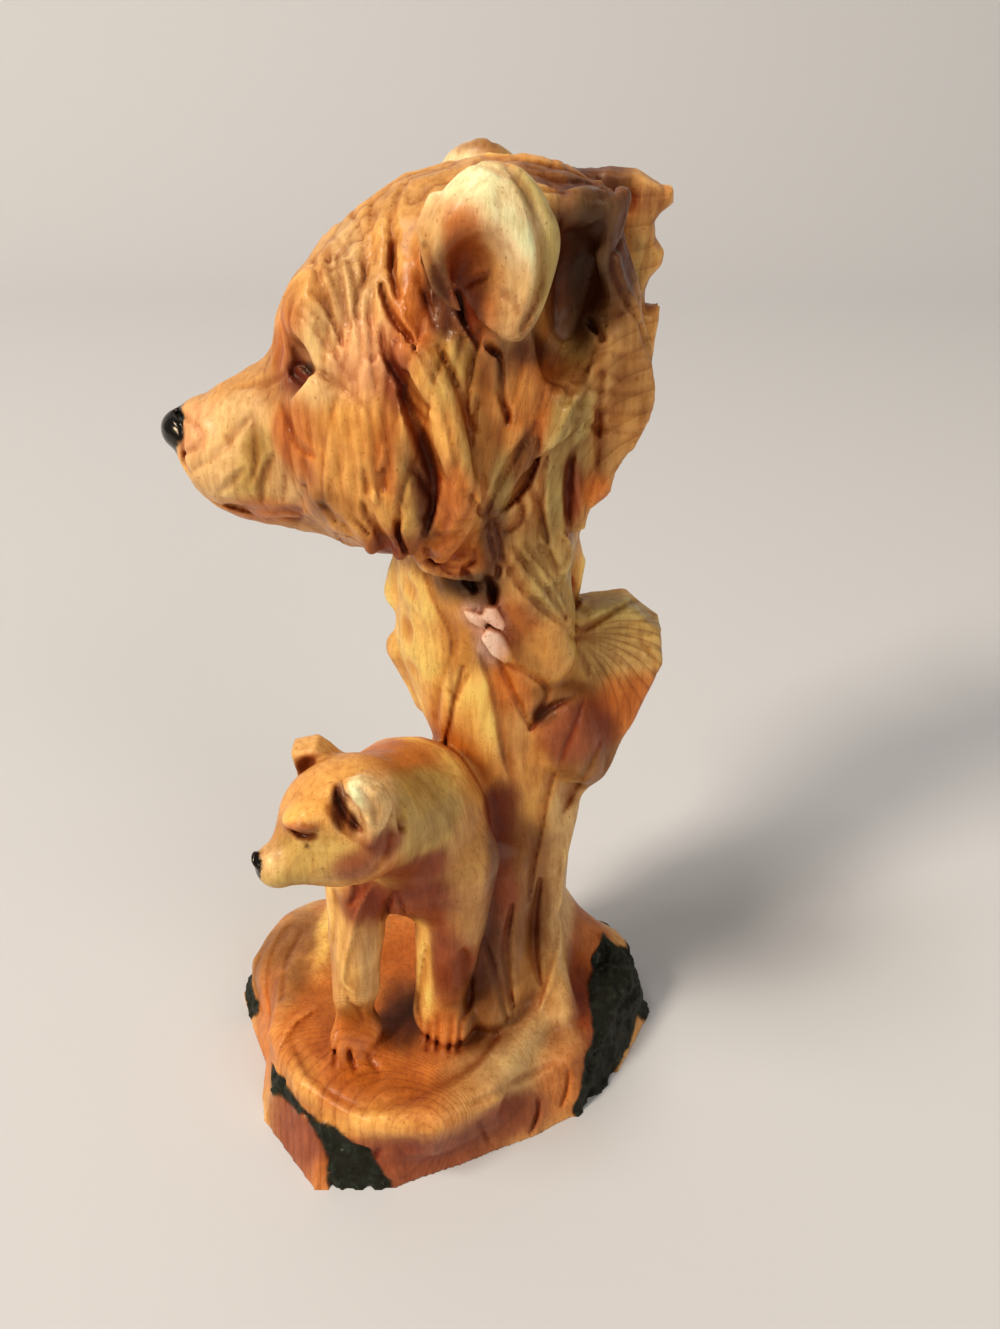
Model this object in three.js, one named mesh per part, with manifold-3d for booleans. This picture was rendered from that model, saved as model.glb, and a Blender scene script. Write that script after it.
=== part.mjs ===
// Mother bear's head on a driftwood trunk with her cub standing below, cast in one piece.
// Millimetres, +Z up. The mother faces -X. The origin is the centre of the bounding box's underside.
// The casting is one implicit solid: rounded masses blended into each other and gouges cut out of them,
// then polygonised into a BufferGeometry and sawn off flat below.
import * as THREE from "three";
import { edgeTable, triTable } from "three/addons/objects/MarchingCubes.js";
import { mergeVertices } from "three/addons/utils/BufferGeometryUtils.js";
import Module from "manifold-3d";

// ---- driving dimensions
const HY=4; // the mother's plane of symmetry, y
const ROLL=0.04; // how far her far side leans down, per mm across
const YAW=0.045; // how far her far side stands forward, per mm across
const CENTRE_X=0.0; // the base's middle in the carving's own frame
const CENTRE_Y=-5.0;
const GRID = 1.25; // sampling step of the implicit solid
const TRIANGLES = 9300; // faces kept after simplifying
const LOW = [-58, -54, -8], HIGH = [58, 46, 198]; // sampled block
const WOOD = 0xb9783f;

// ---- implicit shapes: each gives a signed distance, negative inside
function turn([yaw, pitch, roll]) {
  return new THREE.Matrix4().makeRotationFromEuler(
    new THREE.Euler(...[roll, pitch, yaw].map(THREE.MathUtils.degToRad), "ZYX")).transpose();
}
const v = new THREE.Vector3();
function ellipsoid(c, r, e = [0, 0, 0]) {
  const inv = turn(e), far = Math.max(...r);
  return { low: c.map((x) => x - far), high: c.map((x) => x + far), d(x, y, z) {
    v.set(x - c[0], y - c[1], z - c[2]).applyMatrix4(inv);
    const k0 = Math.hypot(v.x / r[0], v.y / r[1], v.z / r[2]);
    const k1 = Math.hypot(v.x / r[0] ** 2, v.y / r[1] ** 2, v.z / r[2] ** 2);
    return (k0 * (k0 - 1)) / Math.max(k1, 1e-6);
  } };
}
function rod(a, b, [ra, rb]) {
  const ab = [0, 1, 2].map((i) => b[i] - a[i]), l2 = ab[0] ** 2 + ab[1] ** 2 + ab[2] ** 2, far = Math.max(ra, rb);
  return { low: a.map((x, i) => Math.min(x, b[i]) - far), high: a.map((x, i) => Math.max(x, b[i]) + far), d(x, y, z) {
    const qx = x - a[0], qy = y - a[1], qz = z - a[2];
    const t = Math.min(1, Math.max(0, (qx * ab[0] + qy * ab[1] + qz * ab[2]) / l2));
    return Math.hypot(qx - t * ab[0], qy - t * ab[1], qz - t * ab[2]) - (ra + (rb - ra) * t);
  } };
}
function path(points) {
  const rods = points.slice(1).map((b, i) => rod(points[i].slice(0, 3), b.slice(0, 3), [points[i][3], b[3]]));
  return { low: [0, 1, 2].map((i) => Math.min(...rods.map((r) => r.low[i]))), high: [0, 1, 2].map((i) => Math.max(...rods.map((r) => r.high[i]))),
    d: (x, y, z) => Math.min(...rods.map((r) => r.d(x, y, z))) };
}
function outline(x, y, pts) {
  let d = 1e9, s = 1;
  for (let i = 0, j = pts.length - 1; i < pts.length; j = i++) {
    const ex = pts[j][0] - pts[i][0], ey = pts[j][1] - pts[i][1], wx = x - pts[i][0], wy = y - pts[i][1];
    const t = Math.min(1, Math.max(0, (wx * ex + wy * ey) / (ex * ex + ey * ey)));
    d = Math.min(d, (wx - ex * t) ** 2 + (wy - ey * t) ** 2);
    const a = y >= pts[i][1], b = y < pts[j][1], c = ex * wy > ey * wx;
    if ((a && b && c) || (!a && !b && !c)) s = -s;
  }
  return s * Math.sqrt(d);
}
const rounded = (d, w, r) => Math.min(Math.max(d, w), 0) + Math.hypot(Math.max(d, 0), Math.max(w, 0)) - r;
const span = (pts, i) => [Math.min(...pts.map((p) => p[i])), Math.max(...pts.map((p) => p[i]))];
function fin(pts, yc, half, r) { // an outline in X and Z, thick along Y
  const [x0, x1] = span(pts, 0), [z0, z1] = span(pts, 1);
  return { low: [x0, yc - half, z0], high: [x1, yc + half, z1],
    d: (x, y, z) => rounded(outline(x, z, pts) + r, Math.abs(y - yc) - (half - r), r) };
}
function plat(pts, z0, z1, slope, r) { // an outline in X and Y whose sides lean in by slope as they rise
  const [x0, x1] = span(pts, 0), [y0, y1] = span(pts, 1);
  return { low: [x0, y0, z0], high: [x1, y1, z1],
    d: (x, y, z) => rounded((outline(x, y, pts) + slope * Math.max(z, 0)) / Math.hypot(1, slope) + r, Math.abs(z - (z0 + z1) / 2) - ((z1 - z0) / 2 - r), r) };
}
const MAKE = { ell: ellipsoid, rod, path, fin, plat };

// ---- the sampled block, and how a shape is joined ("U") or carved out ("S") with a blend of k
const N = LOW.map((l, i) => Math.ceil((HIGH[i] - l) / GRID) + 1);
const field = new Float32Array(N[0] * N[1] * N[2]).fill(50);
function add(label, op, k, kind, ...par) {
  const shape = MAKE[kind](...par), m = k + 5;
  const i0 = shape.low.map((l, i) => Math.max(0, Math.floor((l - m - LOW[i]) / GRID)));
  const i1 = shape.high.map((h, i) => Math.min(N[i] - 1, Math.ceil((h + m - LOW[i]) / GRID)));
  for (let a = i0[0]; a <= i1[0]; a++)
    for (let b = i0[1]; b <= i1[1]; b++)
      for (let c = i0[2]; c <= i1[2]; c++) {
        const at = (a * N[1] + b) * N[2] + c, g = field[at];
        const d = shape.d(LOW[0] + a * GRID, LOW[1] + b * GRID, LOW[2] + c * GRID);
        const h = k > 0 ? Math.max(k - Math.abs(op === "U" ? g - d : g + d), 0) / k : 0;
        field[at] = op === "U" ? Math.min(g, d) - h * h * k * 0.25 : Math.max(g, -d) + h * h * k * 0.25;
      }
}
// The same shape on the mother's near side and, mirrored in her plane of symmetry, on her far side.
function both(label, op, k, kind, ...par) {
  add(label + " near", op, k, kind, ...par);
  const m = (p) => [p[0] - YAW * 2 * (HY - p[1]), 2 * HY - p[1], p[2] - ROLL * 2 * (HY - p[1]), ...p.slice(3)];
  if (kind === "ell") add(label + " far", op, k, kind, m(par[0]), par[1], par[2] ? [-par[2][0], par[2][1], -par[2][2]] : [0, 0, 0]);
  else if (kind === "rod") add(label + " far", op, k, kind, m(par[0]), m(par[1]), par[2]);
  else add(label + " far", op, k, kind, par[0].map(m));
}

// ---- mother bear's head
add("cranium","U",0,"ell",[8.5,4,160],[27.5,22,28]);
add("crown","U",8,"ell",[18.5,4,171],[15.5,17,16.5]);
add("brow","U",8,"ell",[-9,4,163],[13,15,12]);
add("muzzle","U",8,"rod",[-14,4,149],[-36,4,144.6],[14.5,7.6]);
add("chin","U",5,"rod",[-10,4,137.5],[-34.2,4,136.6],[11,6]);
both("lip","U",4,"ell",[-28,-2.5,140.2],[11,5.5,6.5],[0,10,0]);
both("mouth crease","S",1.5,"path",[[-36,-1,134.5,0.6],[-29,-5.5,133.2,1.1],[-22,-7.5,133.2,1.2],[-15,-10,134.5,0.5]]);
add("lower jaw","U",2,"rod",[-31,4,133],[-12,4,132],[4,7.5]);
add("nose","U",0.8,"ell",[-41.8,4,145.8],[3.8,4.6,3.6],[0,15,0]);
both("cheek","U",10,"ell",[-3,-7,147],[17,13,18]);
both("cheekbone","U",4,"ell",[-11,-12,155],[7,4.5,4],[20,30,0]);
both("brow lobe","U",3,"ell",[-10.5,-8.8,166.5],[10,6,8.5],[0,35,0]);
both("socket","S",2,"ell",[-18.4,-12.4,161.4],[3,3.2,3.4]);
both("eye","U",0.8,"ell",[-16.4,-9.6,160.6],[1.9,1.6,1.4]);
// ---- ruff and mane
add("jaw ruff","U",8,"ell",[1,4,140],[17,18,12.5]);
add("mane near","U",4,"fin",[[16,186],[29,185.4],[31.2,182.5],[30,178],[31.4,173],[34,168.5],[37.4,161.5],[38.4,155],[38,152],[35.6,146.4],[32.6,142.6],[32,139.4],[30,137.4],[28.4,136],[28,132.6],[25.2,131],[25.6,127],[24,122],[17,118],[8,134],[10,160]],-3,6.5,1.4);
add("mane far","U",4,"fin",[[22,186],[36,185.4],[39.2,184],[42.3,182.8],[42.5,180.4],[40.6,178.8],[39.6,177.4],[39.9,174.9],[41.8,172.6],[41.6,170.3],[39.5,168.3],[38.7,166],[39.1,163.8],[41.4,163.5],[41.6,160.9],[41,155],[36,146],[30,139],[24,130],[12,134],[12,160]],17,3.6,1);
add("nape hollow","S",5,"ell",[47,6.5,168.5],[16,7,19]);
// ---- ears
both("ear root","U",3,"ell",[15.5,-15.5,174.5],[7,8,8]);
both("ear","U",2.5,"ell",[12.8,-22.5,179.2],[9.4,6,12],[14,0,-8]);
both("concha","S",3.5,"ell",[10.8,-29.4,174.6],[6.8,6.6,9.6],[18,0,4]);
both("concha deep","S",2.5,"ell",[9.6,-25.4,174.6],[3.4,5,6.2],[18,0,4]);
both("ear rim","U",1,"path",[[4.8,-21.2,186,1.1],[3.9,-22.5,183,1.6],[4.6,-23.7,179.5,1.5],[7,-22.8,173.5,0.9]]);
both("ear foot gap","S",2,"path",[[5,-18,172,1],[9,-20,167.5,1.6],[15,-20,167,1.6],[20,-19,171,1.2]]);
both("behind ear","S",3.5,"ell",[25,-15,171.4],[6.2,10.6,12.4],[0,13,0]);
// ---- locks of the ruff
both("lock A","U",1.5,"path",[[-2,-15,168,2.2],[0.5,-16.7,164.5,2.8],[4.6,-18.6,158,3.3],[7,-19,151,3.3],[8,-18,143,3],[6.4,-16,137,3],[3.4,-12,130.5,2.6]]);
both("gouge H","S",1,"path",[[-0.4,-19,162,0.7],[1.2,-20.8,155,1.8],[1.8,-21,148,2.2],[1.8,-19.8,139.7,1.4]]);
both("gouge C","S",2,"path",[[9.6,-18.5,166,1.6],[11.6,-20,158,2.6],[12,-19.4,150,1.9],[11.4,-17.2,141,0.8]]);
both("lock B","U",2,"path",[[30,-9,158,2.5],[22.8,-12.5,153.7,3.4],[17.4,-14.3,150.5,3.4],[13.8,-15.2,145,2.6],[11.8,-14.6,139,1.8]]);
both("gouge F","S",0.8,"path",[[20,-17,153.5,0.3],[17.4,-17.6,149,1.6],[14.8,-17.2,144.3,1.6],[12.4,-16.4,139.5,0.4]]);
both("gouge G","S",0.8,"path",[[-3,-21,151,0.4],[-4.2,-21,145,1.4],[-4.6,-19.8,139,1.5],[-4.4,-18,135,0.6]]);
both("gouge I","S",0.8,"path",[[-2.4,-9.9,180,0.4],[-2.8,-12.2,176.5,1.3],[-2.2,-13.5,173.8,0.4]]);
both("gouge K","S",0.8,"path",[[-4,-13.8,173.2,0.4],[-3,-15.8,170.2,1.2],[-1.2,-17.2,167.4,1.2],[1,-18,165,0.4]]);
both("gouge J","S",1,"path",[[3.1,-12.2,180,0.6],[2.4,-14.8,175.2,1.9],[3.7,-16.4,172.1,1.8],[5.6,-17.4,168.5,0.6]]);
both("crease D","S",1,"path",[[11.3,-17,141,0.6],[11.8,-14,131.4,1.2],[12.6,-10.5,123,1.3]]);
both("tuft 1","U",1,"rod",[-11,-15,140],[-8,-14,131.6],[2.8,1.3]);
both("tuft 2","U",0.8,"rod",[-15.5,-13,141],[-12.5,-12,132.5],[2.4,0.5]);
both("tuft 3","U",1,"rod",[-6,-17.5,143],[-3.4,-15.7,131.2],[2.6,1.2]);
both("tuft 4","U",1,"rod",[-1.5,-16.5,140],[0,-13,129.6],[2.6,1.1]);
add("knot","U",1.2,"ell",[4.6,-7.5,126.2],[6,4.5,2.9],[0,8,0]);
add("mane ribbon","U",1.5,"path",[[31.6,-5,184.6,1.6],[29.8,-6.4,181,1.6],[29.4,-7.4,177,1.8],[31.2,-7.4,172.5,1.7],[33.8,-6.8,168,1.6],[36.4,-5.6,162,1.2]]);
add("crown ledge","U",3,"path",[[12,-9.6,184.8,2.4],[18,-10.8,184.4,2.3],[24,-10.2,183.8,2.1],[28.6,-7,182.6,1.9]]);
// ---- neck and trunk
add("neck","U",6,"rod",[15,5,138],[12,7,118],[15,14]);
add("trunk","U",6,"path",[[9,9,118,15],[8,11,102,15.5],[13,9,82,14.5],[16,6,60,13.2],[15,5,35,13.5],[14,2,12,20]]);
add("neck gap","S",1.5,"path",[[-2,-8,122.5,1.5],[4,-9.5,121.5,2.4],[10,-9.5,120.5,2.6],[13,-9,117,1.6]]);
add("trunk left bumps","U",1.2,"path",[[-3.8,12,117,3.5],[-5.2,12,109.5,4.2],[-2.2,12,103.6,2.6],[-6,11,97.4,3.8],[-3.2,12,89.5,3.4],[-1.4,12,84,3.4]]);
add("trunk scallop 1","S",0.6,"ell",[-6.6,-1.6,116.6],[4.6,3.4,4.4]);
add("trunk scallop 2","S",0.6,"ell",[-8,1,106.6],[4.8,3.6,4.6]);
add("trunk scallop 3","S",0.6,"ell",[-7,0,97],[4.6,3.6,4.4]);
add("trunk scallop 4","S",0.6,"ell",[0,-8.6,111.8],[3.6,3.4,7]);
add("trunk scallop 5","S",0.6,"ell",[0.6,-7.2,98.6],[3.8,3.6,6.6]);
add("trunk ridge","U",3,"path",[[14,-4,124,4],[15.5,-3,112,3.4],[18.4,-1,96,3.2],[23,0,80,3.2]]);
add("neck edge","U",2,"path",[[26,5,122.6,2.2],[27.3,7,118.6,2.4],[26,7,111,2.6]]);
add("neck notch","S",2,"ell",[32.6,7,125.6],[4,12,2.4],[0,-20,0]);
add("stub","U",3,"fin",[[24,109],[38.2,111],[45,105],[45.8,98],[40.3,82.8],[34.6,71.5],[29,60],[22,58],[16,90]],7,4.6,1.2);
add("stub body","U",4,"ell",[26,4,85],[8,9.5,17],[0,-25,0]);
add("stub valley","S",2,"path",[[19.4,-5.6,87.4,0.7],[21.3,-6.2,90.6,1.8],[23.2,-5.8,92.8,1.5],[26.6,-4,94.4,0.5]]);
add("neck slope","U",3,"path",[[16.6,-4,128,6],[19.6,-2.6,120,6.2],[21.6,-1,112,6],[22.4,1,103,6]]);
add("chip bed","S",1.2,"ell",[11,-10.4,112.4],[3.6,3,7],[0,-18,0]);
add("chip 1","U",0.2,"fin",[[7.2, 116.6], [9.6, 115.8], [11.0, 114.3], [10.3, 113.3], [7.9, 114.8]],-7.6,1.5,0.5);
add("chip 2","U",0.2,"fin",[[11.1, 117.5], [12.9, 117.7], [14.4, 114.6], [14.2, 112.9], [12.5, 113.7], [10.7, 115.6]],-8,1.7,0.5);
add("chip 3","U",0.2,"fin",[[11.5, 113.2], [13.4, 112.3], [15.6, 108.5], [15.9, 106.5], [14.4, 105.8], [12.0, 108.1], [10.2, 111.3]],-8.2,1.9,0.6);
add("root right","U",5,"rod",[17,6,31],[38,9,10],[8,6.5]);
add("root ridge","U",3,"path",[[27.6,1.4,62,2.4],[25,-1,52,3],[23,-4,38,3.2],[24,-8,26,3.6],[27,-13,17,4]]);
// ---- cub
add("cub body","U",3,"ell",[-2.6,-12,68.6],[13.6,16.5,18.6]);
add("cub hump","U",5,"ell",[-6,-14,78],[11,11.5,10.5]);
add("cub rump","U",4,"ell",[3.6,4,60],[13.2,14,16]);
add("cub neck","U",5,"rod",[-6,-20,80],[-11,-32,89],[12.5,10.5]);
add("cub skull","U",3,"ell",[-13,-35,90.5],[11.2,10.5,11]);
add("cub muzzle","U",2.5,"rod",[-17,-38,88],[-23.4,-42,86.8],[7.4,4]);
add("cub nose","U",0.4,"ell",[-26,-43.3,88.3],[1,1.8,2.4],[0,-35,0]);
add("cub brow near","U",3,"ell",[-18.8,-41.8,96.8],[3,2.6,1.8],[0,-20,0]);
add("cub eye socket near","S",1,"path",[[-21.4,-44,95,0.7],[-19.6,-45,94.2,1],[-17.4,-45.8,93.6,0.6]]);
add("cub ear near","U",0.8,"path",[[-10.4,-41,102.6,1.6],[-8.6,-41.8,103.2,2],[-6.8,-41.8,102,2.3],[-6,-41.6,99.4,2.4],[-6.6,-42.6,96.8,2],[-7.4,-43.6,93.8,1.1]]);
add("cub ear hollow near","S",0.5,"path",[[-12.6,-41.6,102.6,1.1],[-12.7,-42.2,99.4,1.9],[-10.8,-43.6,96.6,1.6],[-8.9,-44.8,94.2,0.8]]);
add("cub ear behind","S",1.5,"path",[[-2.4,-37,101,1],[-1.6,-37.6,97,1.6],[-3,-38.5,92.5,0.8]]);
add("cub ear far","U",1,"fin",[[-22.1,100.7],[-17.9,101.6],[-16,100],[-13.6,97.4],[-14,91],[-20.8,91],[-22,98.3]],-27.5,2.6,0.8);
add("cub ear hollow far","S",0.8,"ell",[-19.8,-30.2,97.2],[1.5,1.2,2.6],[0,20,0]);
add("cub leg R","U",3,"rod",[-14.6,-20.5,64],[-17,-23.5,27],[6.2,4.5]);
add("cub paw R","U",2.5,"ell",[-16.4,-26.5,22.6],[6.4,7.2,4.6]);
add("cub leg L","U",3,"rod",[5,-18,66],[1,-18.5,28],[8.5,5.8]);
add("cub paw L","U",3,"ell",[1.5,-21.5,24],[6.5,7.5,5]);
add("cub haunch L","U",4,"rod",[12,-4,52],[11.4,-11.5,27],[9,7.6]);
add("cub hind paw L","U",3,"ell",[11,-16,22.4],[5.6,6.6,5]);
// ---- base
add("base","U",4,"plat",[[-25,-46],[-9.5,-46],[2.5,-41.5],[20.5,-34],[32,-28],[41,-17],[50,-1],[49,9],[42,20],[25,28],[0,31],[-25,28],[-42,18],[-50.5,5],[-47.5,-2],[-41,-15],[-40,-24],[-38.5,-30]],-4,15,0.35,3);
add("platform","U",3,"plat",[[-36,-4],[-36,-20],[-28,-33],[-13,-41.5],[0,-42],[12,-35],[20,-22],[28,-5],[20,15],[-25,14]],4,19,-0.12,4);
add("platform dish","S",4,"ell",[-9,-31,27],[15,8,8.5]);
add("left lobe","U",6,"ell",[-29,8,12],[15,16,8]);

// ---- polygonise
function polygonise() {
  const CORNER = [[0,0,0],[1,0,0],[0,1,0],[1,1,0],[0,0,1],[1,0,1],[0,1,1],[1,1,1]]; // bit order of edgeTable
  const BITS = [0, 1, 3, 2, 4, 5, 7, 6].map((i) => CORNER[i]); // the tables count corners round each square
  const EDGE = [[0,1],[1,2],[2,3],[3,0],[4,5],[5,6],[6,7],[7,4],[0,4],[1,5],[2,6],[3,7]];
  const place = [], ids = new Map(), tris = [];
  const F = (a, b, c) => field[(a * N[1] + b) * N[2] + c];
  for (let a = 0; a < N[0] - 1; a++)
    for (let b = 0; b < N[1] - 1; b++)
      for (let c = 0; c < N[2] - 1; c++) {
        let cube = 0;
        BITS.forEach(([x, y, z], i) => { if (F(a + x, b + y, c + z) < 0) cube |= 1 << i; });
        if (!edgeTable[cube]) continue;
        const at = (e) => {
          const [p, q] = EDGE[e].map((i) => [a + BITS[i][0], b + BITS[i][1], c + BITS[i][2]]);
          const [lo, hi] = p[0] + p[1] + p[2] < q[0] + q[1] + q[2] ? [p, q] : [q, p];
          const key = ((lo[0] * N[1] + lo[1]) * N[2] + lo[2]) * 3 + [0, 1, 2].find((i) => hi[i] !== lo[i]);
          if (!ids.has(key)) {
            const f0 = F(...lo), f1 = F(...hi), t = Math.min(0.95, Math.max(0.05, f0 / (f0 - f1)));
            ids.set(key, place.length / 3);
            for (let i = 0; i < 3; i++) place.push(LOW[i] + GRID * (lo[i] + t * (hi[i] - lo[i])));
          }
          return ids.get(key);
        };
        for (let i = cube * 16; triTable[i] !== -1; i += 3) tris.push(at(triTable[i]), at(triTable[i + 2]), at(triTable[i + 1]));
      }
  return { place, tris };
}

// ---- quadric edge collapse: fewer triangles where the surface is flat, the detail kept where it bends
function simplify({ place, tris }, target) {
  const n = place.length / 3, P = Float64Array.from(place), Q = new Float64Array(n * 10), T = Int32Array.from(tris);
  const faces = Array.from({ length: n }, () => new Set()), alive = new Uint8Array(T.length / 3).fill(1);
  const normal = (x, y, z) => {
    const ux = y[0] - x[0], uy = y[1] - x[1], uz = y[2] - x[2], wx = z[0] - x[0], wy = z[1] - x[1], wz = z[2] - x[2];
    return [uy * wz - uz * wy, uz * wx - ux * wz, ux * wy - uy * wx];
  };
  const at = (i) => [P[i * 3], P[i * 3 + 1], P[i * 3 + 2]];
  for (let t = 0; t < alive.length; t++) {
    const [i, j, k] = [T[t * 3], T[t * 3 + 1], T[t * 3 + 2]], w = normal(at(i), at(j), at(k)), l = Math.hypot(...w) || 1e-12;
    const [a, b, c] = w.map((x) => x / l), d = -(a * P[i * 3] + b * P[i * 3 + 1] + c * P[i * 3 + 2]);
    const q = [a*a, a*b, a*c, a*d, b*b, b*c, b*d, c*c, c*d, d*d];
    for (const x of [i, j, k]) { faces[x].add(t); for (let m = 0; m < 10; m++) Q[x * 10 + m] += q[m] * l; }
  }
  const cost = (q, [x, y, z]) => q[0]*x*x + 2*q[1]*x*y + 2*q[2]*x*z + 2*q[3]*x + q[4]*y*y + 2*q[5]*y*z + 2*q[6]*y + q[7]*z*z + 2*q[8]*z + q[9];
  const sum = new Float64Array(10), stamp = new Int32Array(n);
  const heap = [];
  const push = (e) => { let i = heap.length; heap.push(e); while (i) { const p = (i - 1) >> 1; if (heap[p].c <= e.c) break; heap[i] = heap[p]; i = p; } heap[i] = e; };
  const pop = () => { const top = heap[0], e = heap.pop(); const m = heap.length; if (m) { let i = 0; for (;;) { let k = 2 * i + 1; if (k >= m) break; if (k + 1 < m && heap[k + 1].c < heap[k].c) k++; if (heap[k].c >= e.c) break; heap[i] = heap[k]; i = k; } heap[i] = e; } return top; };
  function offer(u, w) {
    for (let m = 0; m < 10; m++) sum[m] = Q[u * 10 + m] + Q[w * 10 + m];
    const a = at(u), b = at(w), mid = a.map((x, i) => (x + b[i]) / 2), len2 = (a[0]-b[0])**2 + (a[1]-b[1])**2 + (a[2]-b[2])**2;
    const M = new THREE.Matrix3().set(sum[0], sum[1], sum[2], sum[1], sum[4], sum[5], sum[2], sum[5], sum[7]);
    let best = mid, c = cost(sum, mid);
    if (Math.abs(M.determinant()) > 1e-4 * (sum[0] + sum[4] + sum[7]) ** 3 / 27) {
      const s = new THREE.Vector3(-sum[3], -sum[6], -sum[8]).applyMatrix3(M.invert());
      const p = [s.x, s.y, s.z];
      if (Math.hypot(p[0] - mid[0], p[1] - mid[1], p[2] - mid[2]) < Math.sqrt(len2) * 1.2 + 0.1) { const x = cost(sum, p); if (x < c) { c = x; best = p; } }
    }
    push({ c: Math.max(c, 0) + 1e-4 * len2 * len2, u, w, p: best, su: stamp[u], sw: stamp[w] });
  }
  const ring = (u) => { const s = new Set(); for (const t of faces[u]) for (let m = 0; m < 3; m++) if (T[t * 3 + m] !== u) s.add(T[t * 3 + m]); return s; };
  for (let u = 0; u < n; u++) for (const w of ring(u)) if (u < w) offer(u, w);
  let left = alive.length;
  while (left > target && heap.length) {
    const e = pop(), { u, w, p } = e;
    if (stamp[u] !== e.su || stamp[w] !== e.sw) continue;
    const ru = ring(u), rw = ring(w);
    let shared = 0; for (const x of ru) if (rw.has(x)) shared++;
    if (shared !== 2 || ru.size + rw.size < 8) continue;
    let ok = true;
    for (const x of [u, w]) { for (const t of faces[x]) {
      const id = [T[t * 3], T[t * 3 + 1], T[t * 3 + 2]];
      if (id.includes(u) && id.includes(w)) continue;
      const before = normal(...id.map(at)), after = normal(...id.map((i) => (i === x ? p : at(i))));
      const lb = Math.hypot(...before), la = Math.hypot(...after);
      const edge = Math.max(...[0, 1, 2].map((m) => { const q = id[m] === x ? p : at(id[m]), r = id[(m + 1) % 3] === x ? p : at(id[(m + 1) % 3]); return Math.hypot(q[0]-r[0], q[1]-r[1], q[2]-r[2]); }));
      if (before[0]*after[0] + before[1]*after[1] + before[2]*after[2] < 0.35 * la * lb || la < 0.06 * edge * edge) { ok = false; break; }
    } if (!ok) break; }
    if (!ok) continue;
    for (const t of [...faces[w]]) {
      const has = [0, 1, 2].some((m) => T[t * 3 + m] === u);
      if (has) { alive[t] = 0; left--; for (let m = 0; m < 3; m++) faces[T[t * 3 + m]].delete(t); }
      else { for (let m = 0; m < 3; m++) if (T[t * 3 + m] === w) T[t * 3 + m] = u; faces[u].add(t); }
    }
    faces[w].clear();
    for (let m = 0; m < 3; m++) P[u * 3 + m] = p[m];
    for (let m = 0; m < 10; m++) Q[u * 10 + m] += Q[w * 10 + m];
    stamp[u]++; stamp[w]++;
    for (const x of ring(u)) offer(u, x);
  }
  const index = [];
  for (let t = 0; t < alive.length; t++) if (alive[t]) index.push(T[t * 3], T[t * 3 + 1], T[t * 3 + 2]);
  return new THREE.BufferGeometry().setAttribute("position", new THREE.Float32BufferAttribute(P, 3)).setIndex(index);
}

// ---- saw the underside flat
const wasm = await Module();
wasm.setup();
function solid(geometry) {
  const g = geometry.index ? geometry.toNonIndexed() : geometry.clone();
  g.deleteAttribute("normal"); g.deleteAttribute("uv");
  const m = mergeVertices(g, 1e-4);
  return new wasm.Manifold(new wasm.Mesh({ numProp: 3, vertProperties: m.attributes.position.array, triVerts: new Uint32Array(m.index.array) }));
}
const below = new THREE.BoxGeometry(160, 160, 40).translate(0, 0, -20);
const sawn = solid(simplify(polygonise(), TRIANGLES)).subtract(solid(below));
const whole = sawn.decompose().sort((a, b) => b.volume() - a.volume())[0].getMesh();
const geometry = new THREE.BufferGeometry()
  .setAttribute("position", new THREE.BufferAttribute(Float32Array.from(whole.vertProperties), 3))
  .setIndex(new THREE.BufferAttribute(Uint32Array.from(whole.triVerts), 1));
geometry.translate(-CENTRE_X, -CENTRE_Y, 0);
geometry.computeVertexNormals();

const statue = new THREE.Mesh(geometry, new THREE.MeshStandardMaterial({ color: WOOD, roughness: 0.5, metalness: 0 }));
statue.name = "bear_and_cub_casting";
const group = new THREE.Group();
group.add(statue);

export default group;
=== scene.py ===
import math
import numpy as np
import bpy
from mathutils import Matrix, Vector


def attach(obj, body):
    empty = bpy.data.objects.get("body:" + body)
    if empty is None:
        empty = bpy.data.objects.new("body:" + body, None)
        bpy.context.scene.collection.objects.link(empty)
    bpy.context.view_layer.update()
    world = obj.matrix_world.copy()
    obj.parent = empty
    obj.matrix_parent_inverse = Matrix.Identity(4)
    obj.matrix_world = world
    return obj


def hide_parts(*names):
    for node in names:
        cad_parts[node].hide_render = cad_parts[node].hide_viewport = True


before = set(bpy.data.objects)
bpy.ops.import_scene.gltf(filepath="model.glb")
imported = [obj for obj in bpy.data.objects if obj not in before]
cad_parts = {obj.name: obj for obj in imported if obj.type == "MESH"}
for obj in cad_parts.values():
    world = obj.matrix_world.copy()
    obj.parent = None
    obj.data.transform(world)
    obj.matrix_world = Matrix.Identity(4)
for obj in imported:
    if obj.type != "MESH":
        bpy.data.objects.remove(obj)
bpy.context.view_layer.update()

# The casting is sculpted in millimetres as one implicit solid, finer than the CAD one: the same masses,
# with the carver's strokes, bark and grain laid over them. The mother faces -X and the cub's side is -Y.
STEP = 0.5        # sampling step of the fine surface, mm
COARSE = 2.0      # sampling step that finds where the surface is, mm
FACES = 193000    # triangles kept
LOW, HIGH = (-58.0, -54.0, -6.0), (58.0, 46.0, 198.0)

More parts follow.
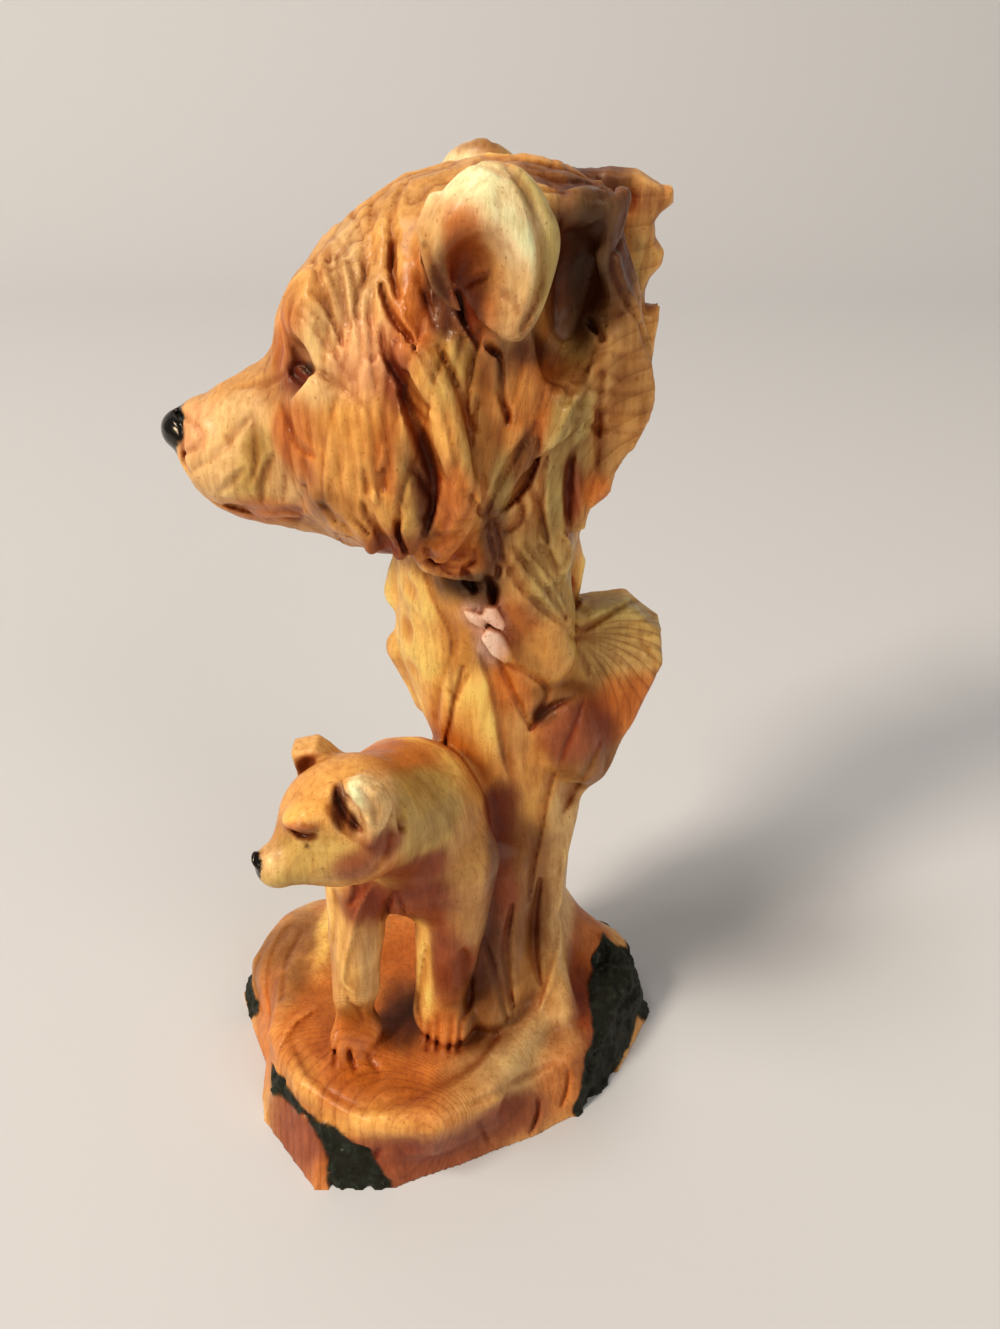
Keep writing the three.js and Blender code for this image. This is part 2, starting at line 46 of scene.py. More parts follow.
# ---- implicit shapes: each gives a signed distance, negative inside
OPS = []
def add(label, op, k, kind, *par):
    OPS.append((label, op, float(k), kind, par))
def turn(e):
    a, b, c = np.radians(e)
    ca, sa, cb, sb, cc, sc = np.cos(a), np.sin(a), np.cos(b), np.sin(b), np.cos(c), np.sin(c)
    return (np.array([[ca, -sa, 0], [sa, ca, 0], [0, 0, 1]]) @ np.array([[cb, 0, sb], [0, 1, 0], [-sb, 0, cb]])
            @ np.array([[1, 0, 0], [0, cc, -sc], [0, sc, cc]]))
def d_ell(P, c, r, e=(0, 0, 0)):
    q = (P - np.float32(c)) @ turn(e).astype(np.float32)
    r = np.float32(r)
    k0 = np.sqrt(((q / r) ** 2).sum(1)); k1 = np.sqrt(((q / (r * r)) ** 2).sum(1))
    return k0 * (k0 - 1) / np.maximum(k1, 1e-6)
def d_rod(P, a, b, r):
    a = np.float32(a); b = np.float32(b); ab = b - a; q = P - a
    t = np.clip((q @ ab) / np.float32(ab @ ab), 0, 1)
    return np.sqrt(((q - t[:, None] * ab) ** 2).sum(1)) - (r[0] + (r[1] - r[0]) * t)
def d_path(P, pts):
    return np.minimum.reduce([d_rod(P, a[:3], b[:3], (a[3], b[3])) for a, b in zip(pts, pts[1:])])
def outline(x, y, pts):
    d = np.full(x.shape, 1e9, np.float32); s = np.ones(x.shape, np.float32)
    for (xi, yi), (xj, yj) in zip(pts, [pts[-1]] + pts[:-1]):
        ex, ey = xj - xi, yj - yi; wx, wy = x - xi, y - yi
        t = np.clip((wx * ex + wy * ey) / (ex * ex + ey * ey), 0, 1)
        d = np.minimum(d, (wx - ex * t) ** 2 + (wy - ey * t) ** 2)
        a = y >= yi; b = y < yj; c = ex * wy > ey * wx
        s = np.where((a & b & c) | (~a & ~b & ~c), -s, s)
    return s * np.sqrt(d)
def rounded(d, w, r):
    return np.minimum(np.maximum(d, w), 0) + np.sqrt(np.maximum(d, 0) ** 2 + np.maximum(w, 0) ** 2) - r
def d_fin(P, pts, yc, half, r):
    return rounded(outline(P[:, 0], P[:, 2], pts) + r, np.abs(P[:, 1] - yc) - (half - r), r)
def d_plat(P, pts, z0, z1, slope, r):
    d = (outline(P[:, 0], P[:, 1], pts) + slope * np.maximum(P[:, 2], 0)) / np.float32(math.hypot(1, slope))
    return rounded(d + r, np.abs(P[:, 2] - (z0 + z1) / 2) - ((z1 - z0) / 2 - r), r)
SHAPE = dict(ell=d_ell, rod=d_rod, path=d_path, fin=d_fin, plat=d_plat)
def extent(kind, par):
    if kind == "ell":
        return np.array(par[0], float) - max(par[1]), np.array(par[0], float) + max(par[1])
    if kind == "rod":
        p = np.array(par[:2], float); return p.min(0) - max(par[2]), p.max(0) + max(par[2])
    p = np.array(par[0], float)
    if kind == "path":
        return p[:, :3].min(0) - p[:, 3].max(), p[:, :3].max(0) + p[:, 3].max()
    if kind == "fin":
        return np.array([p[:, 0].min(), par[1] - par[2], p[:, 1].min()]), np.array([p[:, 0].max(), par[1] + par[2], p[:, 1].max()])
    return np.array([p[:, 0].min(), p[:, 1].min(), par[1]]), np.array([p[:, 0].max(), p[:, 1].max(), par[2]])
def field(P, band):
    P = np.ascontiguousarray(P, np.float32)
    f = np.full(len(P), 50.0, np.float32)
    for label, op, k, kind, par in OPS:
        lo, hi = extent(kind, par); m = k + band + 1
        i = np.nonzero(np.all((P > lo - m) & (P < hi + m), axis=1))[0]
        if len(i) == 0:
            continue
        d = SHAPE[kind](P[i], *par).astype(np.float32); g = f[i]
        if op == "U":
            h = np.maximum(k - np.abs(g - d), 0) / k if k else 0
            f[i] = np.minimum(g, d) - h * h * k * 0.25
        else:
            h = np.maximum(k - np.abs(g + d), 0) / k if k else 0
            f[i] = np.maximum(g, -d) + h * h * k * 0.25
    return f

# ---- smooth random values that are the same on every run
def hashed(i, j, k, seed):
    n = (i.astype(np.uint32) * np.uint32(374761393) + j.astype(np.uint32) * np.uint32(668265263)
         + k.astype(np.uint32) * np.uint32(2147483647) + np.uint32(seed * 974711))
    n = (n ^ (n >> np.uint32(13))) * np.uint32(1274126177)
    n = n ^ (n >> np.uint32(16))
    return (n & np.uint32(65535)).astype(np.float32) / 65535.0
def noise(P, size, seed):
    q = P / np.float32(size) + np.float32(500.3)
    c = np.floor(q).astype(np.int64); t = (q - c).astype(np.float32); t = t * t * (3 - 2 * t)
    out = np.zeros(len(P), np.float32)
    for a in (0, 1):
        for b in (0, 1):
            for d in (0, 1):
                w = (t[:, 0] if a else 1 - t[:, 0]) * (t[:, 1] if b else 1 - t[:, 1]) * (t[:, 2] if d else 1 - t[:, 2])
                out += w * hashed(c[:, 0] + a, c[:, 1] + b, c[:, 2] + d, seed)
    return out * 2 - 1

def scoops(P, size, seed):   # the gouge's scoops: hollow inside each, with a sharp ridge where two meet
    q = P / np.float32(size) + np.float32(500.3); c = np.floor(q - 0.5).astype(np.int64); best = np.full(len(P), 9.0, np.float32)
    for a in (0, 1):
        for b in (0, 1):
            for d in (0, 1):
                i, j, k = c[:, 0] + a, c[:, 1] + b, c[:, 2] + d; r = 0
                for ax, m in enumerate((i, j, k)):
                    r = r + (q[:, ax] - m - 0.5 - 0.6 * (hashed(i, j, k, seed + ax) - 0.5)) ** 2
                best = np.minimum(best, r.astype(np.float32))
    return 0.34 - best

# ---- the mother bear's two sides
HY = 4 # the mother's plane of symmetry, y
ROLL = 0.04 # how far her far side leans down, per mm across
YAW = 0.045 # how far her far side stands forward, per mm across
CENTRE_X = 0.0 # the base's middle in the carving's own frame
CENTRE_Y = -5.0
def both(label,op,k,kind,*par):
    add(label+" near",op,k,kind,*par)
    def m(p): return [p[0]-YAW*2*(HY-p[1]),2*HY-p[1],p[2]-ROLL*2*(HY-p[1])]+list(p[3:])
    if kind=="ell": q=[m(par[0]),par[1]]+([[-par[2][0],par[2][1],-par[2][2]]] if len(par)>2 else [])
    elif kind=="rod": q=[m(par[0]),m(par[1]),par[2]]
    elif kind=="path": q=[[m(p) for p in par[0]]]
    add(label+" far",op,k,kind,*q)
# ---- the masses
# ---- mother bear's head
add("cranium","U",0,"ell",[8.5,4,160],[27.5,22,28])
add("crown","U",8,"ell",[18.5,4,171],[15.5,17,16.5])
add("brow","U",8,"ell",[-9,4,163],[13,15,12])
add("muzzle","U",8,"rod",[-14,4,149],[-36,4,144.6],[14.5,7.6])
add("chin","U",5,"rod",[-10,4,137.5],[-34.2,4,136.6],[11,6])
both("lip","U",4,"ell",[-28,-2.5,140.2],[11,5.5,6.5],[0,10,0])
both("mouth crease","S",1.5,"path",[[-36,-1,134.5,0.6],[-29,-5.5,133.2,1.1],[-22,-7.5,133.2,1.2],[-15,-10,134.5,0.5]])
add("lower jaw","U",2,"rod",[-31,4,133],[-12,4,132],[4,7.5])
add("nose","U",0.8,"ell",[-41.8,4,145.8],[3.8,4.6,3.6],[0,15,0])
both("cheek","U",10,"ell",[-3,-7,147],[17,13,18])
both("cheekbone","U",4,"ell",[-11,-12,155],[7,4.5,4],[20,30,0])
both("brow lobe","U",3,"ell",[-10.5,-8.8,166.5],[10,6,8.5],[0,35,0])
both("socket","S",2,"ell",[-18.4,-12.4,161.4],[3,3.2,3.4])
both("eye","U",0.8,"ell",[-16.4,-9.6,160.6],[1.9,1.6,1.4])
# ruff and mane
add("jaw ruff","U",8,"ell",[1,4,140],[17,18,12.5])
add("mane near","U",4,"fin",[[16,186],[29,185.4],[31.2,182.5],[30,178],[31.4,173],[34,168.5],[37.4,161.5],[38.4,155],[38,152],[35.6,146.4],[32.6,142.6],[32,139.4],[30,137.4],[28.4,136],[28,132.6],[25.2,131],[25.6,127],[24,122],[17,118],[8,134],[10,160]],-3,6.5,1.4)
add("mane far","U",4,"fin",[[22,186],[36,185.4],[39.2,184],[42.3,182.8],[42.5,180.4],[40.6,178.8],[39.6,177.4],[39.9,174.9],[41.8,172.6],[41.6,170.3],[39.5,168.3],[38.7,166],[39.1,163.8],[41.4,163.5],[41.6,160.9],[41,155],[36,146],[30,139],[24,130],[12,134],[12,160]],17,3.6,1)
add("nape hollow","S",5,"ell",[47,6.5,168.5],[16,7,19])
# ears
both("ear root","U",3,"ell",[15.5,-15.5,174.5],[7,8,8])
both("ear","U",2.5,"ell",[12.8,-22.5,179.2],[9.4,6,12],[14,0,-8])
both("concha","S",3.5,"ell",[10.8,-29.4,174.6],[6.8,6.6,9.6],[18,0,4])
both("concha deep","S",2.5,"ell",[9.6,-25.4,174.6],[3.4,5,6.2],[18,0,4])
both("ear rim","U",1,"path",[[4.8,-21.2,186,1.1],[3.9,-22.5,183,1.6],[4.6,-23.7,179.5,1.5],[7,-22.8,173.5,0.9]])
both("ear foot gap","S",2,"path",[[5,-18,172,1],[9,-20,167.5,1.6],[15,-20,167,1.6],[20,-19,171,1.2]])
both("behind ear","S",3.5,"ell",[25,-15,171.4],[6.2,10.6,12.4],[0,13,0])
# locks of the ruff
both("lock A","U",1.5,"path",[[-2,-15,168,2.2],[0.5,-16.7,164.5,2.8],[4.6,-18.6,158,3.3],[7,-19,151,3.3],[8,-18,143,3],[6.4,-16,137,3],[3.4,-12,130.5,2.6]])
both("gouge H","S",1,"path",[[-0.4,-19,162,0.7],[1.2,-20.8,155,1.8],[1.8,-21,148,2.2],[1.8,-19.8,139.7,1.4]])
both("gouge C","S",2,"path",[[9.6,-18.5,166,1.6],[11.6,-20,158,2.6],[12,-19.4,150,1.9],[11.4,-17.2,141,0.8]])
both("lock B","U",2,"path",[[30,-9,158,2.5],[22.8,-12.5,153.7,3.4],[17.4,-14.3,150.5,3.4],[13.8,-15.2,145,2.6],[11.8,-14.6,139,1.8]])
both("gouge F","S",0.8,"path",[[20,-17,153.5,0.3],[17.4,-17.6,149,1.6],[14.8,-17.2,144.3,1.6],[12.4,-16.4,139.5,0.4]])
both("gouge G","S",0.8,"path",[[-3,-21,151,0.4],[-4.2,-21,145,1.4],[-4.6,-19.8,139,1.5],[-4.4,-18,135,0.6]])
both("gouge I","S",0.8,"path",[[-2.4,-9.9,180,0.4],[-2.8,-12.2,176.5,1.3],[-2.2,-13.5,173.8,0.4]])
both("gouge K","S",0.8,"path",[[-4,-13.8,173.2,0.4],[-3,-15.8,170.2,1.2],[-1.2,-17.2,167.4,1.2],[1,-18,165,0.4]])
both("gouge J","S",1,"path",[[3.1,-12.2,180,0.6],[2.4,-14.8,175.2,1.9],[3.7,-16.4,172.1,1.8],[5.6,-17.4,168.5,0.6]])
both("crease D","S",1,"path",[[11.3,-17,141,0.6],[11.8,-14,131.4,1.2],[12.6,-10.5,123,1.3]])
both("tuft 1","U",1,"rod",[-11,-15,140],[-8,-14,131.6],[2.8,1.3])
both("tuft 2","U",0.8,"rod",[-15.5,-13,141],[-12.5,-12,132.5],[2.4,0.5])
both("tuft 3","U",1,"rod",[-6,-17.5,143],[-3.4,-15.7,131.2],[2.6,1.2])
both("tuft 4","U",1,"rod",[-1.5,-16.5,140],[0,-13,129.6],[2.6,1.1])
add("knot","U",1.2,"ell",[4.6,-7.5,126.2],[6,4.5,2.9],[0,8,0])
add("mane ribbon","U",1.5,"path",[[31.6,-5,184.6,1.6],[29.8,-6.4,181,1.6],[29.4,-7.4,177,1.8],[31.2,-7.4,172.5,1.7],[33.8,-6.8,168,1.6],[36.4,-5.6,162,1.2]])
add("crown ledge","U",3,"path",[[12,-9.6,184.8,2.4],[18,-10.8,184.4,2.3],[24,-10.2,183.8,2.1],[28.6,-7,182.6,1.9]])
# neck and trunk
add("neck","U",6,"rod",[15,5,138],[12,7,118],[15,14])
add("trunk","U",6,"path",[[9,9,118,15],[8,11,102,15.5],[13,9,82,14.5],[16,6,60,13.2],[15,5,35,13.5],[14,2,12,20]])
add("neck gap","S",1.5,"path",[[-2,-8,122.5,1.5],[4,-9.5,121.5,2.4],[10,-9.5,120.5,2.6],[13,-9,117,1.6]])
add("trunk left bumps","U",1.2,"path",[[-3.8,12,117,3.5],[-5.2,12,109.5,4.2],[-2.2,12,103.6,2.6],[-6,11,97.4,3.8],[-3.2,12,89.5,3.4],[-1.4,12,84,3.4]])
add("trunk scallop 1","S",0.6,"ell",[-6.6,-1.6,116.6],[4.6,3.4,4.4])
add("trunk scallop 2","S",0.6,"ell",[-8,1,106.6],[4.8,3.6,4.6])
add("trunk scallop 3","S",0.6,"ell",[-7,0,97],[4.6,3.6,4.4])
add("trunk scallop 4","S",0.6,"ell",[0,-8.6,111.8],[3.6,3.4,7])
add("trunk scallop 5","S",0.6,"ell",[0.6,-7.2,98.6],[3.8,3.6,6.6])
add("trunk ridge","U",3,"path",[[14,-4,124,4],[15.5,-3,112,3.4],[18.4,-1,96,3.2],[23,0,80,3.2]])
add("neck edge","U",2,"path",[[26,5,122.6,2.2],[27.3,7,118.6,2.4],[26,7,111,2.6]])
add("neck notch","S",2,"ell",[32.6,7,125.6],[4,12,2.4],[0,-20,0])
add("stub","U",3,"fin",[[24,109],[38.2,111],[45,105],[45.8,98],[40.3,82.8],[34.6,71.5],[29,60],[22,58],[16,90]],7,4.6,1.2)
add("stub body","U",4,"ell",[26,4,85],[8,9.5,17],[0,-25,0])
add("stub valley","S",2,"path",[[19.4,-5.6,87.4,0.7],[21.3,-6.2,90.6,1.8],[23.2,-5.8,92.8,1.5],[26.6,-4,94.4,0.5]])
add("neck slope","U",3,"path",[[16.6,-4,128,6],[19.6,-2.6,120,6.2],[21.6,-1,112,6],[22.4,1,103,6]])
add("chip bed","S",1.2,"ell",[11,-10.4,112.4],[3.6,3,7],[0,-18,0])
add("chip 1","U",0.2,"fin",[[7.2, 116.6], [9.6, 115.8], [11.0, 114.3], [10.3, 113.3], [7.9, 114.8]],-7.6,1.5,0.5)
add("chip 2","U",0.2,"fin",[[11.1, 117.5], [12.9, 117.7], [14.4, 114.6], [14.2, 112.9], [12.5, 113.7], [10.7, 115.6]],-8,1.7,0.5)
add("chip 3","U",0.2,"fin",[[11.5, 113.2], [13.4, 112.3], [15.6, 108.5], [15.9, 106.5], [14.4, 105.8], [12.0, 108.1], [10.2, 111.3]],-8.2,1.9,0.6)
add("root right","U",5,"rod",[17,6,31],[38,9,10],[8,6.5])
add("root ridge","U",3,"path",[[27.6,1.4,62,2.4],[25,-1,52,3],[23,-4,38,3.2],[24,-8,26,3.6],[27,-13,17,4]])
# cub
add("cub body","U",3,"ell",[-2.6,-12,68.6],[13.6,16.5,18.6])
add("cub hump","U",5,"ell",[-6,-14,78],[11,11.5,10.5])
add("cub rump","U",4,"ell",[3.6,4,60],[13.2,14,16])
add("cub neck","U",5,"rod",[-6,-20,80],[-11,-32,89],[12.5,10.5])
add("cub skull","U",3,"ell",[-13,-35,90.5],[11.2,10.5,11])
add("cub muzzle","U",2.5,"rod",[-17,-38,88],[-23.4,-42,86.8],[7.4,4])
add("cub nose","U",0.4,"ell",[-26,-43.3,88.3],[1,1.8,2.4],[0,-35,0])
add("cub brow near","U",3,"ell",[-18.8,-41.8,96.8],[3,2.6,1.8],[0,-20,0])
add("cub eye socket near","S",1,"path",[[-21.4,-44,95,0.7],[-19.6,-45,94.2,1],[-17.4,-45.8,93.6,0.6]])
add("cub ear near","U",0.8,"path",[[-10.4,-41,102.6,1.6],[-8.6,-41.8,103.2,2],[-6.8,-41.8,102,2.3],[-6,-41.6,99.4,2.4],[-6.6,-42.6,96.8,2],[-7.4,-43.6,93.8,1.1]])
add("cub ear hollow near","S",0.5,"path",[[-12.6,-41.6,102.6,1.1],[-12.7,-42.2,99.4,1.9],[-10.8,-43.6,96.6,1.6],[-8.9,-44.8,94.2,0.8]])
add("cub ear behind","S",1.5,"path",[[-2.4,-37,101,1],[-1.6,-37.6,97,1.6],[-3,-38.5,92.5,0.8]])
add("cub ear far","U",1,"fin",[[-22.1,100.7],[-17.9,101.6],[-16,100],[-13.6,97.4],[-14,91],[-20.8,91],[-22,98.3]],-27.5,2.6,0.8)
add("cub ear hollow far","S",0.8,"ell",[-19.8,-30.2,97.2],[1.5,1.2,2.6],[0,20,0])
add("cub leg R","U",3,"rod",[-14.6,-20.5,64],[-17,-23.5,27],[6.2,4.5])
add("cub paw R","U",2.5,"ell",[-16.4,-26.5,22.6],[6.4,7.2,4.6])
add("cub leg L","U",3,"rod",[5,-18,66],[1,-18.5,28],[8.5,5.8])
add("cub paw L","U",3,"ell",[1.5,-21.5,24],[6.5,7.5,5])
add("cub haunch L","U",4,"rod",[12,-4,52],[11.4,-11.5,27],[9,7.6])
add("cub hind paw L","U",3,"ell",[11,-16,22.4],[5.6,6.6,5])
# base
add("base","U",4,"plat",[[-25,-46],[-9.5,-46],[2.5,-41.5],[20.5,-34],[32,-28],[41,-17],[50,-1],[49,9],[42,20],[25,28],[0,31],[-25,28],[-42,18],[-50.5,5],[-47.5,-2],[-41,-15],[-40,-24],[-38.5,-30]],-4,15,0.35,3)
add("platform","U",3,"plat",[[-36,-4],[-36,-20],[-28,-33],[-13,-41.5],[0,-42],[12,-35],[20,-22],[28,-5],[20,15],[-25,14]],4,19,-0.12,4)
add("platform dish","S",4,"ell",[-9,-31,27],[15,8,8.5])
add("left lobe","U",6,"ell",[-29,8,12],[15,16,8])

# ---- the carver's strokes: a line with a width at each point, cut depth mm deep. side 0 is a groove, +1 is
# a step whose floor rises again towards +X, -1 towards -X. A stroke lies in a plane that leans back by LEAN from the
# upright: X, and height in that plane. It marks the surface between two depths behind it, and with mirror the mother's
# far side too.
LEAN = math.radians(32)
def leaned(P):
    return P[:, 0], P[:, 1] * math.cos(LEAN) - P[:, 2] * math.sin(LEAN), P[:, 1] * math.sin(LEAN) + P[:, 2] * math.cos(LEAN)
def mirrored(P):
    far = 2 * (P[:, 1] - HY)
    return np.stack([P[:, 0] + YAW * far, 2 * HY - P[:, 1], P[:, 2] + ROLL * far], 1)
STROKES = []
def stroke(label, pts, depth, side, ys, mirror=False):
    p = np.array(pts, float)
    if len(p) > 2:   # a smooth line through the points
        q = np.vstack([2 * p[0] - p[1], p, 2 * p[-1] - p[-2]]); s = []
        for i in range(1, len(q) - 2):
            for t in (0, 1 / 3, 2 / 3):
                s.append(0.5 * (2 * q[i] + (q[i + 1] - q[i - 1]) * t + (2 * q[i - 1] - 5 * q[i] + 4 * q[i + 1] - q[i + 2]) * t * t
                                + (3 * q[i] - q[i - 1] - 3 * q[i + 1] + q[i + 2]) * t ** 3))
        p = np.vstack(s + [p[-1]])
    w = p[:, 2].copy(); wide = w.max()
    p = np.hstack([p, np.clip(w / (0.6 * wide), 0, 1)[:, None] * min(1, max(0.45, wide / 0.8))]); p[:, 2] = np.maximum(w, 0.75)
    STROKES.append((label, p, max(-1.4, min(depth, 1.35 * max(wide, 0.75))), side, ys, mirror))
def ease(a, b, x):
    t = np.clip((x - a) / (b - a), 0, 1); return t * t * (3 - 2 * t)
def one_stroke(x, y, z, p, depth, side, ys):
    wide = p[:, 2].max()
    i = np.nonzero((x > p[:, 0].min() - wide) & (x < p[:, 0].max() + wide) & (z > p[:, 1].min() - wide)
                   & (z < p[:, 1].max() + wide) & (y > ys[0]) & (y < ys[1]))[0]
    if len(i) == 0:
        return i, None
    X, Z = x[i], z[i]; best = np.full(len(i), 1e9); s = np.zeros(len(i)); w = np.full(len(i), 0.75); full = np.zeros(len(i))
    for a, b in zip(p, p[1:]):
        e = b[:2] - a[:2]; l2 = max(e @ e, 1e-9)
        u = ((X - a[0]) * e[0] + (Z - a[1]) * e[1]) / l2; t = np.clip(u, 0, 1)
        dx, dz = X - a[0] - t * e[0], Z - a[1] - t * e[1]; d = np.hypot(dx, dz)
        m = d < best
        best = np.where(m, d, best); w = np.where(m, a[2] + (b[2] - a[2]) * t, w); full = np.where(m, a[3] + (b[3] - a[3]) * t, full)
        s = np.where(m, np.where(e[0] * (Z - a[1]) - e[1] * (X - a[0]) > 0, d, -d), s)
    if side:
        s = s * side; fall = np.where(s > 0, 1 - s / w, 1 + s / np.minimum(0.9, w))
    else:
        fall = 1 - np.abs(s) / w
    fall = np.clip(fall, 0, 1)
    fall = fall * fall * (3 - 2 * fall) if side == 0 else fall ** 1.3
    mid, half = (ys[0] + ys[1]) / 2, (ys[1] - ys[0]) / 2
    fade = 1 - ease(0.75, 1.0, np.abs(y[i] - mid) / half)
    return i, depth * fall * fade * full
def strokes(P, N):
    cut = np.zeros(len(P), np.float32)
    near, far = leaned(P), leaned(mirrored(P))
    c, s = math.cos(LEAN), math.sin(LEAN)
    face = ease(0.08, 0.5, N[:, 2] * s - N[:, 1] * c), ease(0.08, 0.5, N[:, 2] * s + N[:, 1] * c)
    for label, p, depth, side, ys, mirror in STROKES:
        for (X, Y, Z), w in ((near, face[0]), (far, face[1]))[:2 if mirror else 1]:
            i, d = one_stroke(X, Y, Z, p, depth, side, ys)
            if d is not None:
                cut[i] += d * w[i]
    return np.clip(cut, -1.4, 2.3)
stroke("forehead 1", [[-11.1,147.0,0.29],[-9.9,141.3,0.74],[-9.4,137.6,0.74],[-9.1,134.8,0.29]], 1.1, -1, (-107.6, -93.4), True)
stroke("forehead 2", [[-13.3,148.0,0.3],[-12.1,144.9,1.04],[-10.3,138.3,1.19],[-10.0,132.2,0.45]], 0.9, 1, (-107.7, -95.0), True)
stroke("forehead 3", [[-9.4,154.5,0.45],[-7.1,148.9,1.19],[-6.3,144.2,1.19],[-6.8,140.4,0.45]], 0.8, -1, (-107.5, -89.7), True)
stroke("forehead 4", [[-6.0,155.4,0.45],[-5.8,150.8,1.04],[-5.5,147.6,1.04],[-5.1,144.0,0.45]], 0.8, -1, (-107.2, -92.1), True)
stroke("forehead 5", [[-1.1,157.1,0.44],[-2.1,152.9,1.48],[-2.5,148.3,1.48],[-2.2,143.8,0.59]], 1.0, -1, (-107.8, -93.8), True)
stroke("forehead 6", [[-12.8,151.8,0.44],[-8.8,144.5,1.18],[-7.5,139.5,1.18],[-7.6,135.8,0.44]], 0.6, -1, (-107.6, -88.8), True)
stroke("forehead 7", [[-15.8,148.3,0.44],[-12.7,140.5,1.03],[-11.4,136.6,1.03],[-10.5,132.9,0.44]], 0.8, 1, (-107.6, -88.5), True)
stroke("forehead slit", [[-1.6,148.1,0.29],[-2.5,144.4,0.88],[-2.0,140.8,0.73],[-1.4,138.4,0.29]], 2.4, 0, (-108.3, -97.8), True)
stroke("temple slit", [[-4.0,140.6,0.29],[-3.1,137.6,0.73],[-1.5,134.7,0.73],[0.5,132.3,0.29]], 2.2, 0, (-108.9, -97.4), True)
stroke("temple lip", [[-4.7,141.0,0.44],[-4.0,137.4,1.18],[-2.4,134.3,1.18],[-0.5,132.2,0.44]], -0.8, -1, (-107.5, -97.2), True)
stroke("brow 1", [[-15.6,138.0,0.3],[-13.4,136.0,0.74],[-11.8,133.8,0.74],[-10.7,131.0,0.3]], 0.7, 1, (-106.9, -95.4), True)
stroke("brow 2", [[-14.2,139.8,0.29],[-12.0,137.2,0.74],[-10.6,134.4,0.74],[-10.1,132.2,0.29]], 0.7, 1, (-107.4, -96.0), True)
stroke("brow 3", [[-13.5,134.6,0.3],[-12.1,132.7,0.75],[-10.8,130.5,0.75],[-9.7,128.5,0.3]], 0.6, 1, (-106.3, -94.8), True)
stroke("brow 4", [[-16.6,137.0,0.3],[-14.5,135.1,0.74],[-13.0,132.9,0.59],[-11.9,131.4,0.3]], 0.5, 1, (-106.2, -95.2), True)
stroke("lid edge", [[-18.5,133.9,0.62],[-17.9,132.6,1.23],[-16.5,131.0,1.38],[-14.0,129.0,1.23],[-12.1,127.9,0.46]], 0.6, -1, (-104.1, -88.8), True)
stroke("lid fold", [[-13.3,128.9,0.3],[-10.2,126.4,0.75],[-8.1,124.7,0.75],[-5.7,121.8,0.15]], 0.4, 0, (-104.5, -93.8), True)
stroke("temple 1", [[-7.5,136.6,0.3],[-7.2,133.7,0.59],[-6.8,130.5,0.3]], 0.8, -1, (-107.4, -96.1), True)
stroke("temple 2", [[-9.6,130.8,0.45],[-8.6,128.4,1.05],[-7.9,125.5,0.45]], 0.5, 1, (-105.6, -94.7), True)
stroke("temple 3", [[-5.8,138.3,0.44],[-5.5,134.1,1.33],[-5.3,129.1,1.33],[-4.9,124.9,0.44]], 0.6, 1, (-107.6, -95.3), True)
stroke("cheek 0", [[-14.0,125.8,0.31],[-13.8,122.2,1.07],[-13.8,118.7,1.07],[-14.0,115.2,0.31]], 0.45, -1, (-103.6, -87.6), True)
stroke("cheek 1", [[-11.9,124.8,0.31],[-11.7,120.5,1.07],[-11.5,116.2,1.07],[-11.7,111.9,0.31]], 0.45, 1, (-103.8, -86.4), True)
stroke("cheek 2", [[-10.0,124.2,0.31],[-9.5,119.7,1.07],[-9.1,115.1,1.07],[-9.2,110.7,0.31]], 0.45, -1, (-104.0, -86.4), True)
stroke("cheek 3", [[-8.1,123.7,0.31],[-7.6,119.1,1.07],[-7.2,114.4,1.07],[-7.3,109.8,0.31]], 0.45, 1, (-104.2, -86.7), True)
stroke("cheek 4", [[-6.1,124.0,0.3],[-5.7,119.5,1.07],[-5.4,115.0,1.07],[-5.4,110.4,0.3]], 0.45, -1, (-104.7, -87.7), True)
stroke("cheek 5", [[-4.3,124.5,0.3],[-3.9,121.2,1.06],[-3.6,117.9,1.06],[-3.6,114.7,0.3]], 0.45, 1, (-105.3, -90.2), True)
stroke("cheek 6", [[-2.6,124.2,0.3],[-2.2,121.3,1.05],[-1.9,118.5,1.05],[-1.8,115.7,0.3]], 0.45, -1, (-105.4, -91.5), True)
stroke("cheek 7", [[-15.9,125.2,0.31],[-15.9,122.7,1.08],[-16.0,120.4,1.08],[-16.2,117.9,0.31]], 0.45, 1, (-102.6, -87.8), True)
stroke("cheek slit 1", [[-13.0,114.1,0.16],[-13.4,112.6,0.47],[-13.2,111.4,0.16]], 0.8, 0, (-97.5, -84.8), True)
stroke("cheek slit 2", [[-7.6,114.7,0.16],[-7.6,113.0,0.47],[-7.6,111.4,0.16]], 0.9, 0, (-100.1, -87.9), True)
stroke("cheek slit 3", [[-4.4,115.2,0.15],[-4.5,113.6,0.62],[-4.7,111.9,0.15]], 0.9, 0, (-100.9, -88.2), True)
stroke("jaw 1", [[-8.2,110.8,0.16],[-8.0,109.5,0.64],[-7.5,107.8,0.8],[-6.2,104.8,0.48]], 1.5, 1, (-97.2, -79.5), True)
stroke("jaw 2", [[-6.9,108.9,0.16],[-6.4,106.9,0.97],[-5.2,104.9,1.45],[-3.9,103.2,0.97]], 1.7, 1, (-95.8, -79.8), True)
stroke("jaw 3", [[-12.2,108.1,0.33],[-11.0,106.2,0.98],[-9.5,104.5,0.82]], 1.4, 1, (-92.3, -78.5), True)
stroke("jaw 4", [[-10.1,108.4,0.16],[-8.8,107.1,0.65],[-7.9,106.2,0.32]], 1.2, 0, (-93.7, -81.4), True)
